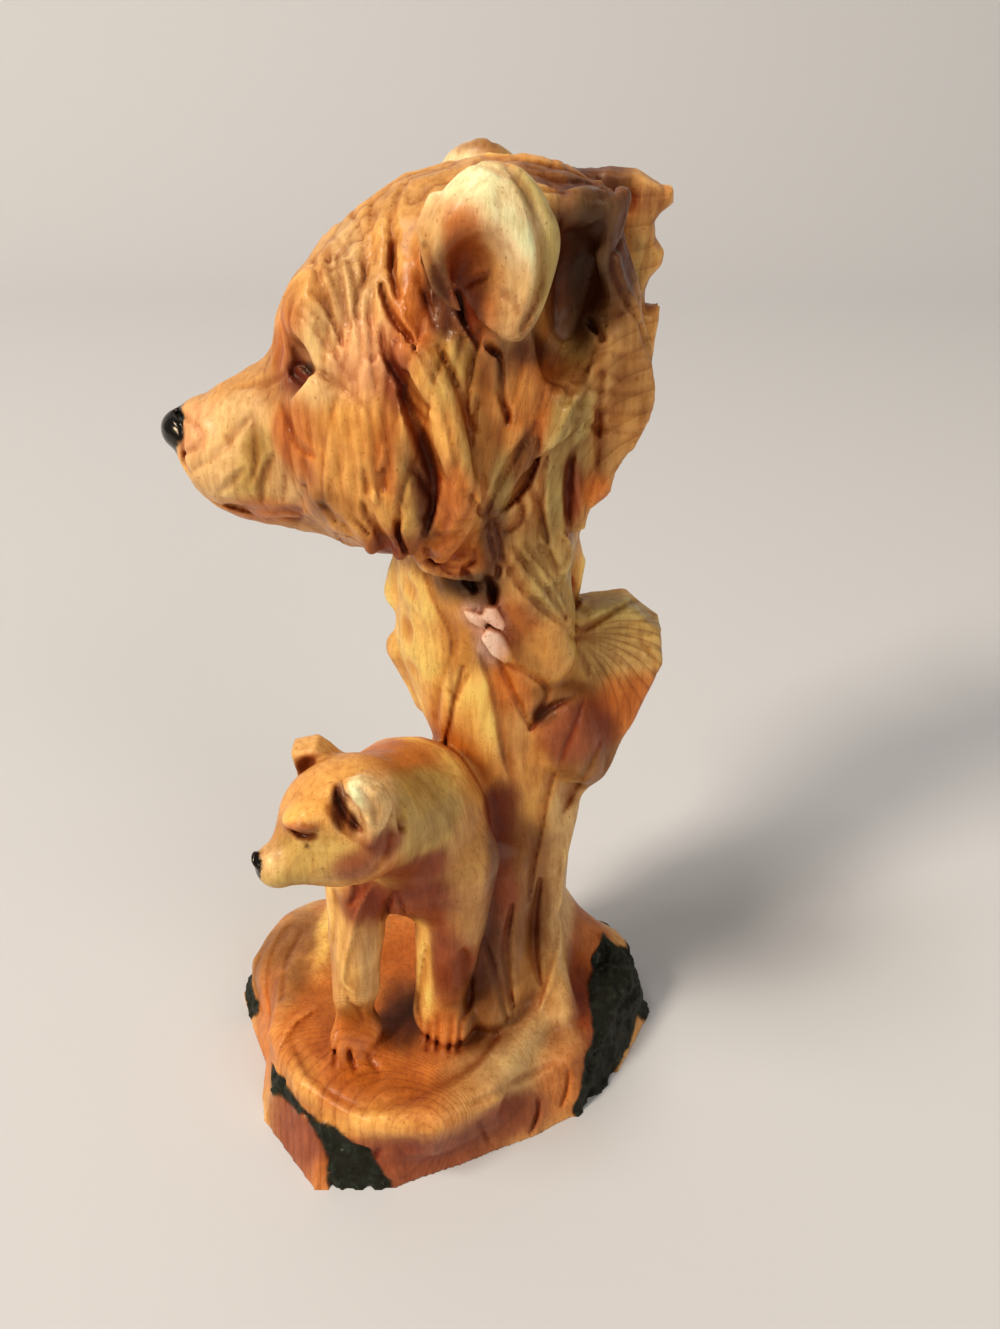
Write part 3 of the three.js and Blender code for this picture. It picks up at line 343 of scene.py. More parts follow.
stroke("jaw 5", [[-15.6,110.8,0.32],[-14.4,109.8,0.97],[-13.5,108.3,0.65]], 0.9, 0, (-92.3, -80.3), True)
stroke("jaw 6", [[-18.6,108.4,0.53],[-16.8,107.6,0.89],[-14.7,107.9,0.53]], 1.2, 0, (-75.6, -65.0), True)
stroke("jaw 7", [[-3.1,107.7,0.32],[-3.0,105.7,0.81],[-2.3,103.6,0.65]], 1.2, -1, (-94.7, -78.9), True)
stroke("nose rim", [[-42.1,128.1,0.34],[-40.4,124.9,0.68],[-40.6,120.9,0.51]], 0.8, 1, (-84.4, -73.3), True)
stroke("nose wing", [[-42.0,128.0,0.51],[-37.0,124.4,0.84],[-36.8,121.5,0.84],[-39.6,120.7,0.51]], 0.5, 0, (-86.1, -72.1), True)
stroke("nose cleft", [[-40.4,120.8,0.51],[-40.7,119.3,0.85],[-39.5,117.4,0.51]], 0.9, 0, (-83.6, -71.9))
stroke("lip band", [[-39.4,117.5,0.5],[-34.2,119.5,1.33],[-29.8,123.3,1.49],[-27.3,125.7,0.66]], 0.55, 1, (-90.0, -72.9), True)
stroke("lip pleat 1", [[-26.9,125.1,0.33],[-26.9,122.0,0.83],[-27.1,117.6,0.83],[-28.3,115.2,0.33]], 0.5, -1, (-90.1, -76.5), True)
stroke("lip pleat 2", [[-24.0,119.1,0.5],[-25.3,116.9,1.5],[-26.3,114.6,1.5],[-26.8,112.5,0.67]], 0.7, 0, (-89.9, -74.4), True)
stroke("lip pleat 3", [[-29.3,117.1,0.5],[-31.3,115.6,1.17],[-35.0,113.5,0.5]], 0.5, 0, (-87.3, -72.4), True)
stroke("lip corner", [[-17.4,118.4,0.65],[-17.8,114.6,2.28],[-19.5,112.5,2.28],[-23.0,111.1,0.81]], 0.5, 1, (-97.0, -72.7), True)
stroke("mouth line", [[-34.8,113.0,0.35],[-30.1,111.8,0.86],[-25.9,111.1,1.04],[-22.0,110.9,1.04],[-20.0,111.0,0.35]], 1.3, 0, (-85.3, -66.7), True)
stroke("chin fold", [[-31.8,111.0,0.36],[-27.5,110.0,0.72],[-22.5,108.9,0.36]], 0.5, 0, (-73.8, -63.0), True)
stroke("muzzle furrow", [[-21.2,125.8,0.47],[-19.7,122.4,1.1],[-18.3,119.3,1.26],[-15.4,117.4,0.63]], 0.6, 0, (-98.2, -85.8), True)
stroke("muzzle top", [[-29.9,130.6,0.49],[-25.2,130.7,1.3],[-20.6,130.7,0.65]], 0.5, 0, (-96.9, -77.9), True)
stroke("spot", [[-32.0,122.6,0.33],[-31.4,121.8,0.5],[-31.3,121.0,0.17]], 0.6, 0, (-87.8, -77.8), True)
stroke("eye slit", [[-19.2,131.4,0.31],[-17.7,131.8,0.77],[-16.5,130.7,0.62],[-15.2,129.0,0.15]], 0.7, 0, (-102.4, -87.7), True)
stroke("lock A flank", [[-3.9,134.5,0.59],[-3.6,131.1,1.48],[-1.6,127.1,1.78],[0.3,124.1,1.48],[2.1,121.8,0.59]], 1.6, 1, (-108.0, -93.9), True)
stroke("lock A seam", [[-3.0,130.7,0.15],[-1.0,127.2,0.44],[1.6,124.2,0.44],[4.1,122.0,0.15]], 0.8, 0, (-107.3, -96.3), True)
stroke("deep gouge", [[-1.4,125.5,0.62],[0.2,121.6,1.39],[1.8,117.9,1.54],[2.9,113.7,1.54],[2.9,110.6,1.08],[1.4,107.8,0.62]], 2.2, 0, (-105.9, -84.2), True)
stroke("deep gouge edge", [[-0.8,124.9,0.3],[1.4,121.6,0.76],[2.8,118.1,0.76],[4.1,113.6,0.46]], 1.0, -1, (-105.4, -89.4), True)
stroke("green leaf", [[0.1,115.9,0.31],[-1.5,112.5,1.25],[-2.6,108.8,1.41],[-3.4,105.9,0.47]], 1.3, 1, (-100.5, -82.7), True)
stroke("brown leaf", [[0.6,114.8,0.47],[2.2,111.8,1.26],[2.7,109.0,1.26],[1.2,106.1,0.63]], 1.4, -1, (-99.3, -82.3), True)
stroke("lock A crest", [[4.4,131.6,0.44],[6.4,127.9,1.04],[7.8,124.1,1.04],[9.0,118.6,1.04],[10.7,109.2,0.44]], 1.2, 1, (-108.0, -93.7), True)
stroke("lock A line 1", [[1.8,130.3,0.29],[4.3,125.7,0.59],[5.7,120.9,0.59],[6.3,116.9,0.29]], 0.5, 1, (-108.8, -94.3), True)
stroke("lock A line 2", [[4.8,123.6,0.3],[6.3,118.3,0.76],[7.5,113.0,0.76],[9.4,108.8,0.3]], 0.5, 1, (-107.7, -86.3), True)
stroke("lock B line 1", [[10.7,133.4,0.3],[9.0,128.5,0.89],[8.4,124.3,0.89],[9.0,120.9,0.3]], 0.9, 1, (-109.0, -93.3), True)
stroke("lock B line 2", [[10.2,124.6,0.3],[9.4,122.9,0.6],[9.7,120.5,0.3]], 0.8, 0, (-103.6, -91.9), True)
stroke("lock B line 3", [[13.2,125.7,0.3],[14.4,123.3,0.91],[14.7,121.3,0.3]], 0.9, -1, (-104.1, -91.4), True)
stroke("ear crack", [[12.3,131.6,0.6],[13.5,130.2,0.75],[13.8,127.2,0.45],[14.1,124.3,0.6],[14.9,122.3,0.3]], 1.6, 0, (-107.8, -92.0), True)
stroke("ear foot hole", [[11.6,131.7,0.59],[12.5,131.0,0.88],[13.4,130.7,0.44]], 1.8, 0, (-107.5, -97.4), True)
stroke("cavity 1", [[3.4,140.6,0.54],[3.9,138.5,1.21],[4.8,136.7,1.48],[5.9,135.3,1.08],[7.0,132.4,0.54]], 2.6, 0, (-121.8, -107.8), True)
stroke("cavity 2", [[2.4,139.2,0.29],[3.3,137.2,0.88],[3.7,135.3,0.58],[4.1,133.9,0.15]], 1.0, 0, (-108.5, -98.3), True)
stroke("cavity lip", [[2.0,146.6,0.44],[2.0,143.3,0.88],[3.3,139.2,0.73],[3.9,135.1,0.44]], -0.8, -1, (-109.2, -98.4), True)
stroke("ear tendril", [[6.9,134.6,0.44],[6.9,135.2,0.73],[8.4,133.1,0.73],[9.7,131.5,0.29]], -0.9, 0, (-117.1, -96.9), True)
stroke("ear tendril gap", [[7.7,137.4,0.29],[8.1,135.4,0.58],[9.3,133.2,0.44],[10.0,132.0,0.15]], 1.2, 0, (-110.2, -97.1), True)
stroke("lock A lower line", [[3.2,106.1,0.16],[4.3,105.5,0.48],[7.1,106.2,0.48],[8.7,107.4,0.16]], 0.9, 0, (-94.8, -82.1), True)
stroke("lock split", [[8.7,111.7,0.16],[9.4,110.2,0.62],[10.6,109.1,0.47]], 1.6, 0, (-99.8, -82.0), True)
stroke("roof line 1", [[15.5,161.0,0.3],[22.5,159.6,0.9],[28.5,158.3,0.9],[32.2,154.7,0.3]], 0.6, 0, (-108.3, -94.1))
stroke("roof line 2", [[17.9,156.9,0.29],[23.0,155.7,0.88],[28.0,157.2,0.73],[29.9,154.0,0.29]], 0.6, 0, (-108.6, -94.5))
stroke("roof line 3", [[16.3,151.8,0.28],[19.9,152.1,0.71],[24.1,151.8,0.57]], 0.5, 0, (-113.5, -102.9))
stroke("hollow notch", [[27.2,138.2,0.31],[28.3,136.5,0.92],[29.3,134.6,0.46]], 1.8, 0, (-101.2, -88.9))
stroke("ribbon out", [[33.8,155.7,0.45],[30.9,147.8,1.05],[30.1,144.4,1.05],[31.8,140.9,0.9],[34.6,137.6,0.6],[37.0,134.7,0.45]], 0.8, 1, (-107.4, -87.6))
stroke("ribbon tip", [[34.8,162.2,0.33],[35.3,160.9,0.66],[34.9,159.7,0.49]], 0.7, 0, (-89.7, -78.8))
stroke("green ridge", [[27.8,130.7,0.62],[26.4,127.3,1.39],[24.4,123.9,1.54],[22.1,119.5,1.23],[21.4,116.8,0.62]], -1.0, -1, (-100.3, -82.2))
stroke("mane facet", [[29.2,129.9,0.48],[28.9,125.8,1.44],[29.2,122.3,1.6],[29.6,117.3,0.96],[30.9,114.9,0.48]], 0.8, 1, (-99.8, -78.0))
stroke("mane ring 1", [[22.7,125.0,0.31],[27.4,125.1,0.62],[33.4,125.0,0.77],[37.5,124.9,0.46]], 0.45, 0, (-100.9, -84.4))
stroke("mane ring 2", [[23.8,122.7,0.32],[29.5,123.0,0.64],[34.5,122.2,0.8],[37.5,123.2,0.48]], 0.45, 0, (-100.1, -82.6))
stroke("mane ring 3", [[28.9,129.8,0.31],[32.5,129.7,0.62],[37.5,130.2,0.47]], 0.4, 0, (-99.9, -88.3))
stroke("mane ring 4", [[25.1,128.5,0.31],[29.0,127.5,0.62],[33.2,127.7,0.77],[37.7,127.5,0.46]], 0.4, 0, (-100.2, -86.4))
stroke("mane ring 5", [[28.4,132.7,0.31],[32.3,132.5,0.62],[37.3,133.0,0.46]], 0.4, 0, (-100.6, -89.8))
stroke("mane scar", [[28.7,124.4,0.16],[29.4,123.7,0.64],[29.4,122.3,0.48]], 0.7, 0, (-97.0, -83.5))
stroke("leaf left", [[19.0,122.0,0.31],[16.0,117.8,0.79],[13.3,113.6,0.94],[11.2,109.4,0.47]], 1.0, 1, (-100.7, -81.7))
stroke("leaf right", [[19.7,121.3,0.32],[19.4,118.1,1.29],[18.0,114.6,1.62],[16.3,112.5,1.29],[13.8,109.9,0.49]], 1.7, -1, (-100.3, -81.1))
stroke("fold 1", [[16.1,112.2,0.5],[17.0,110.6,1.16],[16.7,108.8,1.16],[14.3,107.1,0.5]], 0.9, -1, (-90.9, -75.8))
stroke("fold 2", [[18.4,113.9,0.5],[20.0,110.7,1.34],[21.1,107.5,1.17],[21.8,105.8,0.5]], 1.1, -1, (-91.1, -73.1))
stroke("strip light", [[21.4,116.3,0.5],[21.1,112.0,1.0],[21.6,108.2,0.84],[22.2,105.1,0.33]], -0.8, 1, (-91.6, -72.6))
stroke("strip dark", [[25.2,118.6,0.66],[24.5,115.1,1.5],[24.9,110.6,1.5],[25.6,107.5,0.66]], 1.6, 1, (-92.0, -73.7))
stroke("strip edge", [[26.1,119.0,0.5],[26.2,115.2,0.83],[27.2,111.4,0.83],[28.0,108.2,0.5]], -0.6, 1, (-91.9, -76.0))
stroke("tear drop", [[23.9,107.2,0.34],[25.6,105.6,1.03],[26.9,104.1,0.85],[28.0,101.0,0.34]], -0.9, 0, (-83.7, -71.1))
stroke("mane hem", [[25.1,107.2,0.52],[27.9,108.4,1.05],[28.9,108.8,0.52]], 1.3, 0, (-83.5, -63.0))
stroke("neck stratum 0", [[13.7,103.6,0.71],[16.5,98.9,1.59],[21.0,94.8,1.41],[25.0,92.0,0.53]], 1.0, 1, (-82.7, -59.4))
stroke("neck stratum 1", [[15.7,104.8,0.7],[19.4,100.2,1.58],[23.3,96.3,1.41],[25.8,93.1,0.53]], 1.0, 1, (-83.6, -59.4))
stroke("neck stratum 2", [[17.9,105.5,0.71],[21.6,100.9,1.59],[24.8,97.0,1.41],[26.6,93.8,0.53]], 1.0, 1, (-83.8, -58.6))
stroke("neck stratum 3", [[20.3,104.9,0.71],[23.8,100.3,1.61],[26.5,96.5,1.43],[27.2,94.4,0.54]], 1.0, 1, (-82.9, -57.3))
stroke("neck stratum 4", [[23.8,105.5,0.75],[26.5,100.4,1.68],[28.3,97.5,1.49],[27.5,95.1,0.56]], 1.0, 1, (-69.9, -49.5))
stroke("knot under", [[1.1,104.0,0.34],[2.4,102.6,0.85],[5.8,101.4,1.02],[8.9,102.5,0.51]], 0.9, 0, (-88.1, -71.6))
stroke("knot top", [[3.0,104.3,0.16],[4.7,104.8,0.49],[7.4,105.3,0.32]], 0.9, 0, (-92.6, -79.4))
stroke("bark rope L", [[11.4,108.8,0.34],[11.7,106.4,0.68],[12.5,103.9,0.68],[13.2,100.7,0.34]], 1.0, -1, (-90.7, -70.3))
stroke("bark rope R", [[12.4,108.4,0.34],[13.3,105.8,0.68],[13.7,102.3,0.68],[13.0,99.9,0.34]], 1.0, 1, (-90.0, -69.4))
stroke("dark hole 1", [[7.2,101.3,0.71],[7.8,99.7,1.59],[8.9,98.0,0.89]], 2.4, 0, (-81.9, -64.5))
stroke("dark hole 2", [[11.4,99.8,0.71],[12.3,97.9,1.59],[12.4,96.1,1.06]], 2.4, 0, (-78.6, -64.2))
stroke("dark hole 3", [[3.7,101.1,0.34],[5.4,100.4,0.69],[7.0,100.6,0.51]], 1.5, 0, (-82.2, -71.7))
stroke("crack top", [[7.8,83.3,0.19],[6.4,81.0,0.77],[5.6,79.0,0.38]], 0.8, 0, (-62.4, -49.4))
stroke("crack branch", [[3.1,80.0,0.19],[4.0,79.0,0.58],[5.2,78.0,0.39]], 0.8, 0, (-59.0, -48.6))
stroke("crack", [[6.5,84.2,0.39],[5.7,81.4,0.77],[4.8,78.4,0.77],[4.1,75.4,0.77],[3.4,72.3,0.77],[2.7,69.8,0.77],[2.4,67.7,0.39]], 1.0, 0, (-64.3, -41.2))
stroke("trunk facet 1", [[-0.4,103.8,0.92],[1.4,97.0,2.95],[4.3,90.7,3.32],[4.5,87.1,1.48]], 0.8, 1, (-71.6, -54.7))
stroke("trunk facet 3", [[4.5,86.5,0.76],[2.5,81.7,2.29],[1.2,75.3,2.29],[0.2,69.4,0.96]], 0.7, -1, (-64.2, -43.9))
stroke("panel edge", [[9.9,86.5,0.77],[11.6,81.8,2.7],[12.9,74.9,3.47],[14.1,67.3,3.47],[16.6,59.3,1.16]], 1.1, 1, (-65.0, -43.5))
stroke("triangle left", [[13.5,85.2,0.58],[15.0,81.4,1.54],[17.4,76.7,1.54],[19.4,72.4,0.58]], 0.8, -1, (-63.5, -45.4))
stroke("triangle right", [[14.8,84.6,0.57],[18.2,83.3,1.53],[22.6,79.8,1.15],[20.5,74.2,0.57]], 0.8, 1, (-63.5, -46.4))
stroke("stub top crease", [[26.2,93.6,0.58],[28.9,91.2,1.15],[33.2,93.8,1.15],[40.3,97.4,0.58]], 1.0, 0, (-60.8, -45.1))
stroke("stub corner", [[25.5,94.3,0.37],[25.6,92.2,0.74],[26.8,90.0,0.74],[27.5,89.3,0.37]], 0.5, -1, (-70.4, -53.7))
stroke("stub ray 0", [[27.0,90.1,0.19],[33.0,91.0,0.77],[38.5,92.4,0.96],[44.2,94.1,0.77]], 0.45, -1, (-65.3, -43.8))
stroke("stub ray 1", [[27.0,90.1,0.19],[33.5,90.3,0.77],[39.6,90.5,0.97],[44.9,90.6,0.77]], 0.45, -1, (-65.3, -48.6))
stroke("stub ray 2", [[27.0,90.1,0.19],[33.5,89.7,0.78],[39.6,88.6,0.97],[45.0,87.6,0.78]], 0.45, -1, (-65.3, -46.5))
stroke("stub ray 3", [[27.0,90.1,0.2],[32.9,89.1,0.78],[38.5,87.0,0.98],[43.4,84.8,0.78]], 0.45, -1, (-65.3, -45.2))
stroke("stub ray 4", [[27.0,90.1,0.2],[31.6,88.7,0.78],[35.9,86.1,0.98],[39.6,83.2,0.78]], 0.45, 1, (-65.3, -44.2))
stroke("stub ray 5", [[27.0,90.1,0.2],[29.8,88.5,0.78],[32.3,85.6,0.98],[34.5,82.4,0.78]], 0.45, 1, (-65.3, -43.7))
stroke("stub ray 6", [[27.0,90.1,0.19],[28.4,88.6,0.78],[29.8,85.8,0.97],[30.9,82.8,0.78]], 0.45, 1, (-65.3, -44.2))
stroke("stub rim", [[40.7,89.5,0.39],[43.8,85.6,0.98],[44.4,82.8,0.79]], 0.6, 0, (-58.1, -43.8))
stroke("stub fold 1", [[29.9,77.7,0.59],[28.2,72.8,1.58],[26.5,68.8,1.58],[25.6,64.5,0.59]], 0.5, 1, (-55.7, -40.9))
stroke("stub fold 2", [[33.7,69.5,0.62],[31.7,64.4,1.86],[29.4,58.1,1.86],[26.8,53.6,0.83]], 0.6, -1, (-50.2, -29.1))
stroke("stub back edge", [[35.7,66.1,0.42],[35.1,61.1,1.26],[32.4,56.9,1.26],[29.9,52.6,0.42]], 0.8, 1, (-46.0, -27.7))
stroke("trunk right fold", [[24.3,62.1,0.84],[23.0,55.6,2.51],[21.9,49.1,2.51],[20.5,41.4,2.51],[19.9,34.4,1.05]], 0.9, -1, (-47.3, -27.8))
stroke("root ridge line", [[27.7,44.9,0.89],[26.6,36.7,2.22],[27.2,25.1,2.22],[25.0,15.9,2.0],[22.6,8.4,0.89]], -0.9, 1, (-36.3, -16.0))
stroke("root groove", [[22.1,38.6,0.87],[20.9,30.4,1.97],[21.0,20.7,1.75],[22.4,13.5,0.66]], 0.9, 0, (-37.2, -18.6))
stroke("root groove 2", [[16.0,34.3,0.64],[14.6,25.2,1.71],[15.2,15.6,1.71],[16.3,9.3,0.64]], 1.2, 0, (-41.8, -22.6))
stroke("cub eye", [[-20.1,57.9,0.32],[-19.0,57.0,0.81],[-17.5,56.7,0.81],[-16.3,57.1,0.32]], 1.3, 0, (-93.0, -82.1))
stroke("valley crease", [[19.6,72.0,0.78],[21.3,74.2,1.76],[23.2,76.0,1.76],[25.6,77.4,0.98],[28.0,78.2,0.39]], 1.5, 1, (-57.3, -45.2))
stroke("cub lid", [[-20.3,58.7,0.48],[-18.5,58.6,0.96],[-16.5,58.3,0.48]], -0.7, 0, (-94.1, -83.5))
stroke("cub spot", [[-17.9,55.5,0.32],[-17.8,55.2,0.49],[-17.6,54.8,0.16]], 0.7, 0, (-91.9, -81.8))
stroke("cub nose rim", [[-27.5,53.3,0.33],[-25.5,52.1,0.49],[-24.4,50.1,0.33]], 0.5, 1, (-90.3, -79.6))
stroke("cub neck fold", [[-4.7,58.3,0.49],[-4.9,55.1,1.32],[-6.3,52.1,1.32],[-8.1,50.0,0.49]], 0.6, -1, (-89.9, -77.7))
stroke("cub shoulder 1", [[-4.4,66.7,0.53],[0.3,63.0,1.06],[4.8,56.4,1.06],[6.7,49.7,0.53]], 0.4, 0, (-82.6, -60.8))
stroke("cub shoulder 2", [[-3.5,62.2,0.51],[-1.3,59.4,1.35],[-0.7,53.4,1.35],[-1.6,47.8,0.51]], 0.4, 0, (-87.1, -69.6))
stroke("cub chest tuft 1", [[-6.5,41.6,0.39],[-8.1,38.3,1.35],[-9.4,34.5,0.77]], 0.9, -1, (-64.0, -43.3))
stroke("cub chest tuft 2", [[-6.1,41.7,0.38],[-5.4,38.8,1.14],[-5.0,36.3,0.57]], 0.8, 1, (-64.2, -51.4))
stroke("cub chest tuft 3", [[-14.6,44.1,0.38],[-13.9,41.8,1.34],[-15.3,38.6,0.57]], 0.8, 0, (-62.3, -50.7))
stroke("leg R ridge", [[-11.0,42.6,0.39],[-13.9,37.0,1.17],[-15.9,30.7,1.17],[-18.2,21.0,0.78],[-15.5,18.0,0.39]], -0.7, 1, (-62.5, -40.0))
stroke("leg R fold", [[-18.3,41.4,0.6],[-18.0,37.2,1.6],[-20.0,28.7,1.2],[-20.6,21.4,0.6]], 0.6, 0, (-58.8, -37.8))
stroke("leg R line", [[-18.3,19.8,0.41],[-17.0,14.6,1.24],[-15.6,8.7,0.41]], 0.6, -1, (-49.3, -28.6))
stroke("paw R slit 1", [[-18.4,3.2,0.21],[-18.2,1.2,0.84],[-17.2,-0.6,0.42]], 0.6, 0, (-41.1, -29.8))
stroke("paw R slit 2", [[-21.1,4.2,0.21],[-21.6,1.8,0.63],[-21.4,0.2,0.21]], 0.5, 0, (-40.9, -29.6))
stroke("paw R slit 3", [[-14.6,1.1,0.21],[-13.4,-0.3,0.85],[-12.2,-1.2,0.42]], 0.5, 0, (-40.6, -28.7))
stroke("leg L front edge", [[-1.1,28.2,0.64],[-2.1,23.2,1.92],[-4.0,13.3,1.92],[-3.6,8.8,0.64]], 0.9, 1, (-47.1, -27.6))
stroke("leg L fold", [[5.6,29.6,0.63],[6.6,23.4,1.69],[6.7,13.3,1.69],[5.9,9.7,0.63]], 0.8, 0, (-47.8, -28.4))
stroke("leg L fold 2", [[10.1,26.8,0.43],[12.2,19.5,1.29],[14.1,12.4,1.29],[15.0,6.9,0.43]], 0.7, 0, (-41.4, -23.3))
stroke("paw L slit 0", [[-1.4,9.9,0.21],[-1.8,5.9,0.75],[-2.1,2.2,0.43]], 0.55, 0, (-39.1, -27.0))
stroke("paw L slit 1", [[0.4,10.2,0.21],[0.2,6.3,0.74],[0.0,2.3,0.42]], 0.55, 0, (-39.9, -27.5))
stroke("paw L slit 2", [[3.4,10.5,0.21],[3.1,6.8,0.74],[2.6,2.5,0.42]], 0.55, 0, (-40.7, -27.9))
stroke("paw L slit 3", [[5.3,10.4,0.21],[5.0,6.9,0.74],[4.5,2.4,0.42]], 0.55, 0, (-40.8, -27.7))
stroke("lobe line 1", [[-33.6,25.8,0.71],[-39.9,18.5,1.67],[-41.6,11.7,1.67],[-39.3,2.5,0.95]], 0.5, 1, (-14.9, 0.6))
stroke("lobe line 2", [[-34.4,20.0,0.7],[-36.6,15.5,1.64],[-36.4,11.4,1.64],[-34.7,3.6,0.94]], 0.5, 1, (-21.7, -0.6))
stroke("lobe line 3", [[-40.9,21.0,0.72],[-43.8,16.0,1.69],[-45.8,8.7,1.45],[-42.7,2.6,0.72]], 0.5, 1, (-13.9, 7.8))
stroke("lobe ridge", [[-34.2,2.3,0.44],[-32.7,5.0,1.32],[-31.1,6.7,1.1],[-27.7,8.1,0.44]], -0.8, 0, (-35.2, -17.8))
stroke("base crack 1", [[21.7,-9.5,0.22],[21.5,-13.2,0.87],[20.2,-16.9,0.43]], 1.2, 0, (-34.8, -24.2))
stroke("base crack 2", [[28.4,-4.3,0.22],[28.0,-8.5,0.88],[26.9,-12.1,0.44]], 1.0, 0, (-32.5, -21.8))
stroke("base crack 3", [[9.1,-10.4,0.21],[10.1,-15.4,0.64],[11.4,-18.5,0.21]], 0.7, 0, (-43.7, -27.4))
stroke("base wall edge", [[-11.5,-14.6,0.62],[-12.3,-18.5,1.44],[-9.9,-22.9,0.62]], 1.0, -1, (-47.1, -34.3))
stroke("base wall line", [[7.4,-5.3,0.63],[13.5,-4.0,1.69],[19.9,-3.4,1.69],[25.7,-1.7,0.63]], 0.6, 0, (-47.3, -23.7))
stroke("ear bevel", [[14.2,150.3,0.53],[17.3,145.4,1.85],[18.8,139.8,2.38],[18.5,135.2,2.12],[16.5,131.0,0.79]], 1.1, 1, (-124.9, -106.6), True)
stroke("ear scar", [[13.5,136.3,0.27],[15.1,134.8,0.82],[16.2,133.1,0.55]], 0.4, 0, (-117.9, -107.3), True)
stroke("ear crease", [[9.6,150.5,0.26],[13.5,148.6,0.65],[16.1,147.8,0.39]], 0.4, 0, (-125.8, -115.1), True)
stroke("concha fold", [[11.7,138.6,0.28],[10.5,138.5,0.56],[8.8,138.0,0.56],[7.7,137.4,0.28]], 0.7, 0, (-117.8, -104.3), True)
stroke("rim inner", [[-31.3,3.0,0.83],[-27.1,-0.9,2.91],[-20.3,-4.3,3.33],[-13.6,-5.8,3.33],[-5.8,-4.9,3.33],[2.3,-2.4,2.91],[9.3,0.9,2.08],[13.1,4.3,1.04]], 0.9, 1, (-49.6, -24.5))
stroke("cub ear lobe fill", [[-10.2,66.0,0.79],[-9.0,64.2,1.9],[-7.9,61.3,1.9],[-7.1,59.3,0.79]], -1.3, 0, (-96.7, -84.3))
stroke("cub ear front slit", [[-13.1,64.7,0.32],[-12.6,62.2,0.81],[-11.2,59.8,0.97],[-9.1,58.0,0.49]], 1.2, 0, (-92.2, -81.4))
stroke("cub ear fold", [[-9.9,66.6,0.31],[-7.9,66.1,0.63],[-6.2,64.2,0.63]], -0.6, 0, (-96.9, -86.0))
stroke("concha low", [[7.5,138.6,0.58],[7.6,137.9,1.01],[8.4,134.8,0.72]], 1.8, 0, (-116.4, -99.2), True)
stroke("eye flat", [[-19.1,130.7,0.94],[-17.9,129.8,1.41],[-17.2,128.9,0.78]], 0.9, 0, (-98.3, -87.6), True)


# ---- where the bark is: rough black patches on the base's rim
BARK = [
    ([[38.5, 19.4], [43.0, 15.7], [45.6, 15.5], [48.4, 10.0], [47.9, 3.6], [44.7, -3.1], [39.7, -9.3], [36.9, -14.8], [31.2, -19.8], [29.2, -13.0], [32.4, -5.3], [34.4, 2.7], [34.2, 7.7], [35.5, 14.2]], -16),   # bark right
    ([[-27.7, -8.8], [-24.7, -8.8], [-20.1, -10.3], [-16.2, -13.8], [-12.9, -14.9], [-11.5, -19.0], [-8.4, -25.3], [-13.9, -25.5], [-21.4, -25.1], [-21.8, -18.5], [-23.0, -13.2], [-26.5, -10.5]], -40),   # bark front
    ([[-37.8, 1.7], [-38.2, -3.4], [-33.2, -3.2], [-29.8, -6.0], [-26.7, -8.6], [-28.7, -9.5], [-32.8, -8.4], [-37.4, -8.7]], -34),   # bark lower left
    ([[-50.1, 13.1], [-46.7, 16.5], [-46.8, 6.8], [-44.2, 2.3], [-46.7, -1.3], [-50.1, 3.5]], -4),   # bark left
]
BACK = [([50, 6, 8], [8, 15, 10]), ([40, 20, 7], [13, 10, 9]), ([-18, 33, 6], [34, 10, 8])]   # and on the sides away from the cub
def patch(P, spots):
    d = np.full(len(P), 9.0, np.float32)
    for c, r in spots:
        d = np.minimum(d, np.sqrt((((P - np.float32(c)) / np.float32(r)) ** 2).sum(1)))
    return d
def bark(P):
    w = np.zeros(len(P), np.float32); i = np.nonzero(P[:, 2] < 24)[0]
    if len(i) == 0:
        return w
    Q = P[i]; j = noise(Q, 2.6, 41) * 0.7 + noise(Q, 7.0, 42) * 0.8
    x, v, u = leaned(Q); b = np.zeros(len(i), np.float32)
    for pts, depth in BARK:
        b = np.maximum(b, (1 - ease(-0.2, 0.5, outline(x, u, pts) + j)) * (1 - ease(18, 24, np.abs(v - depth))))
    b = np.maximum(b, 1 - ease(0.92, 1.0, patch(Q, BACK) + j * 0.08))
    w[i] = b
    return w

# ---- everything finer than the masses
def relief(P, N):
    cut = strokes(P, N)
    b = bark(P)
    ears = np.minimum(1, patch(P, [([12, -23, 179], [14, 9, 16]), ([12, 31, 179], [14, 9, 16])]) ** 4)
    calm = (0.2 + 0.3 * ease(22, 30, P[:, 2]) + 0.5 * ease(112, 124, P[:, 2])) * (0.35 + 0.65 * np.minimum(1, patch(P, [([-16, -38, 93], [17, 17, 16])]) ** 3))
    facet = noise(P, 7.5, 1) * 0.16 + noise(P * np.float32([1, 1, 0.45]), 3.2, 2) * 0.10 + scoops(P * np.float32([1, 1, 0.5]), 6.5, 21) * (0.35 + 0.85 * ears) * calm
    head = ease(118, 126, P[:, 2]) * (1 - ease(-22, -30, P[:, 0]))
    Q = P @ np.float32([[1, 0, 0.25], [0, 1, 0], [-0.25, 0, 1]]) * np.float32([1, 1, 0.16])
    strands = noise(Q, 1.7, 3) * 0.14 + np.clip(1 - np.abs(noise(Q, 3.4, 6)) * 4.5, 0, 1) * 0.34 * ears
    rough = (np.abs(noise(P, 2.6, 4)) * 1.5 + noise(P, 1.2, 5) * 0.55 - 0.35) * 0.8
    return cut + facet * (1 - b) + strands * head + rough * b

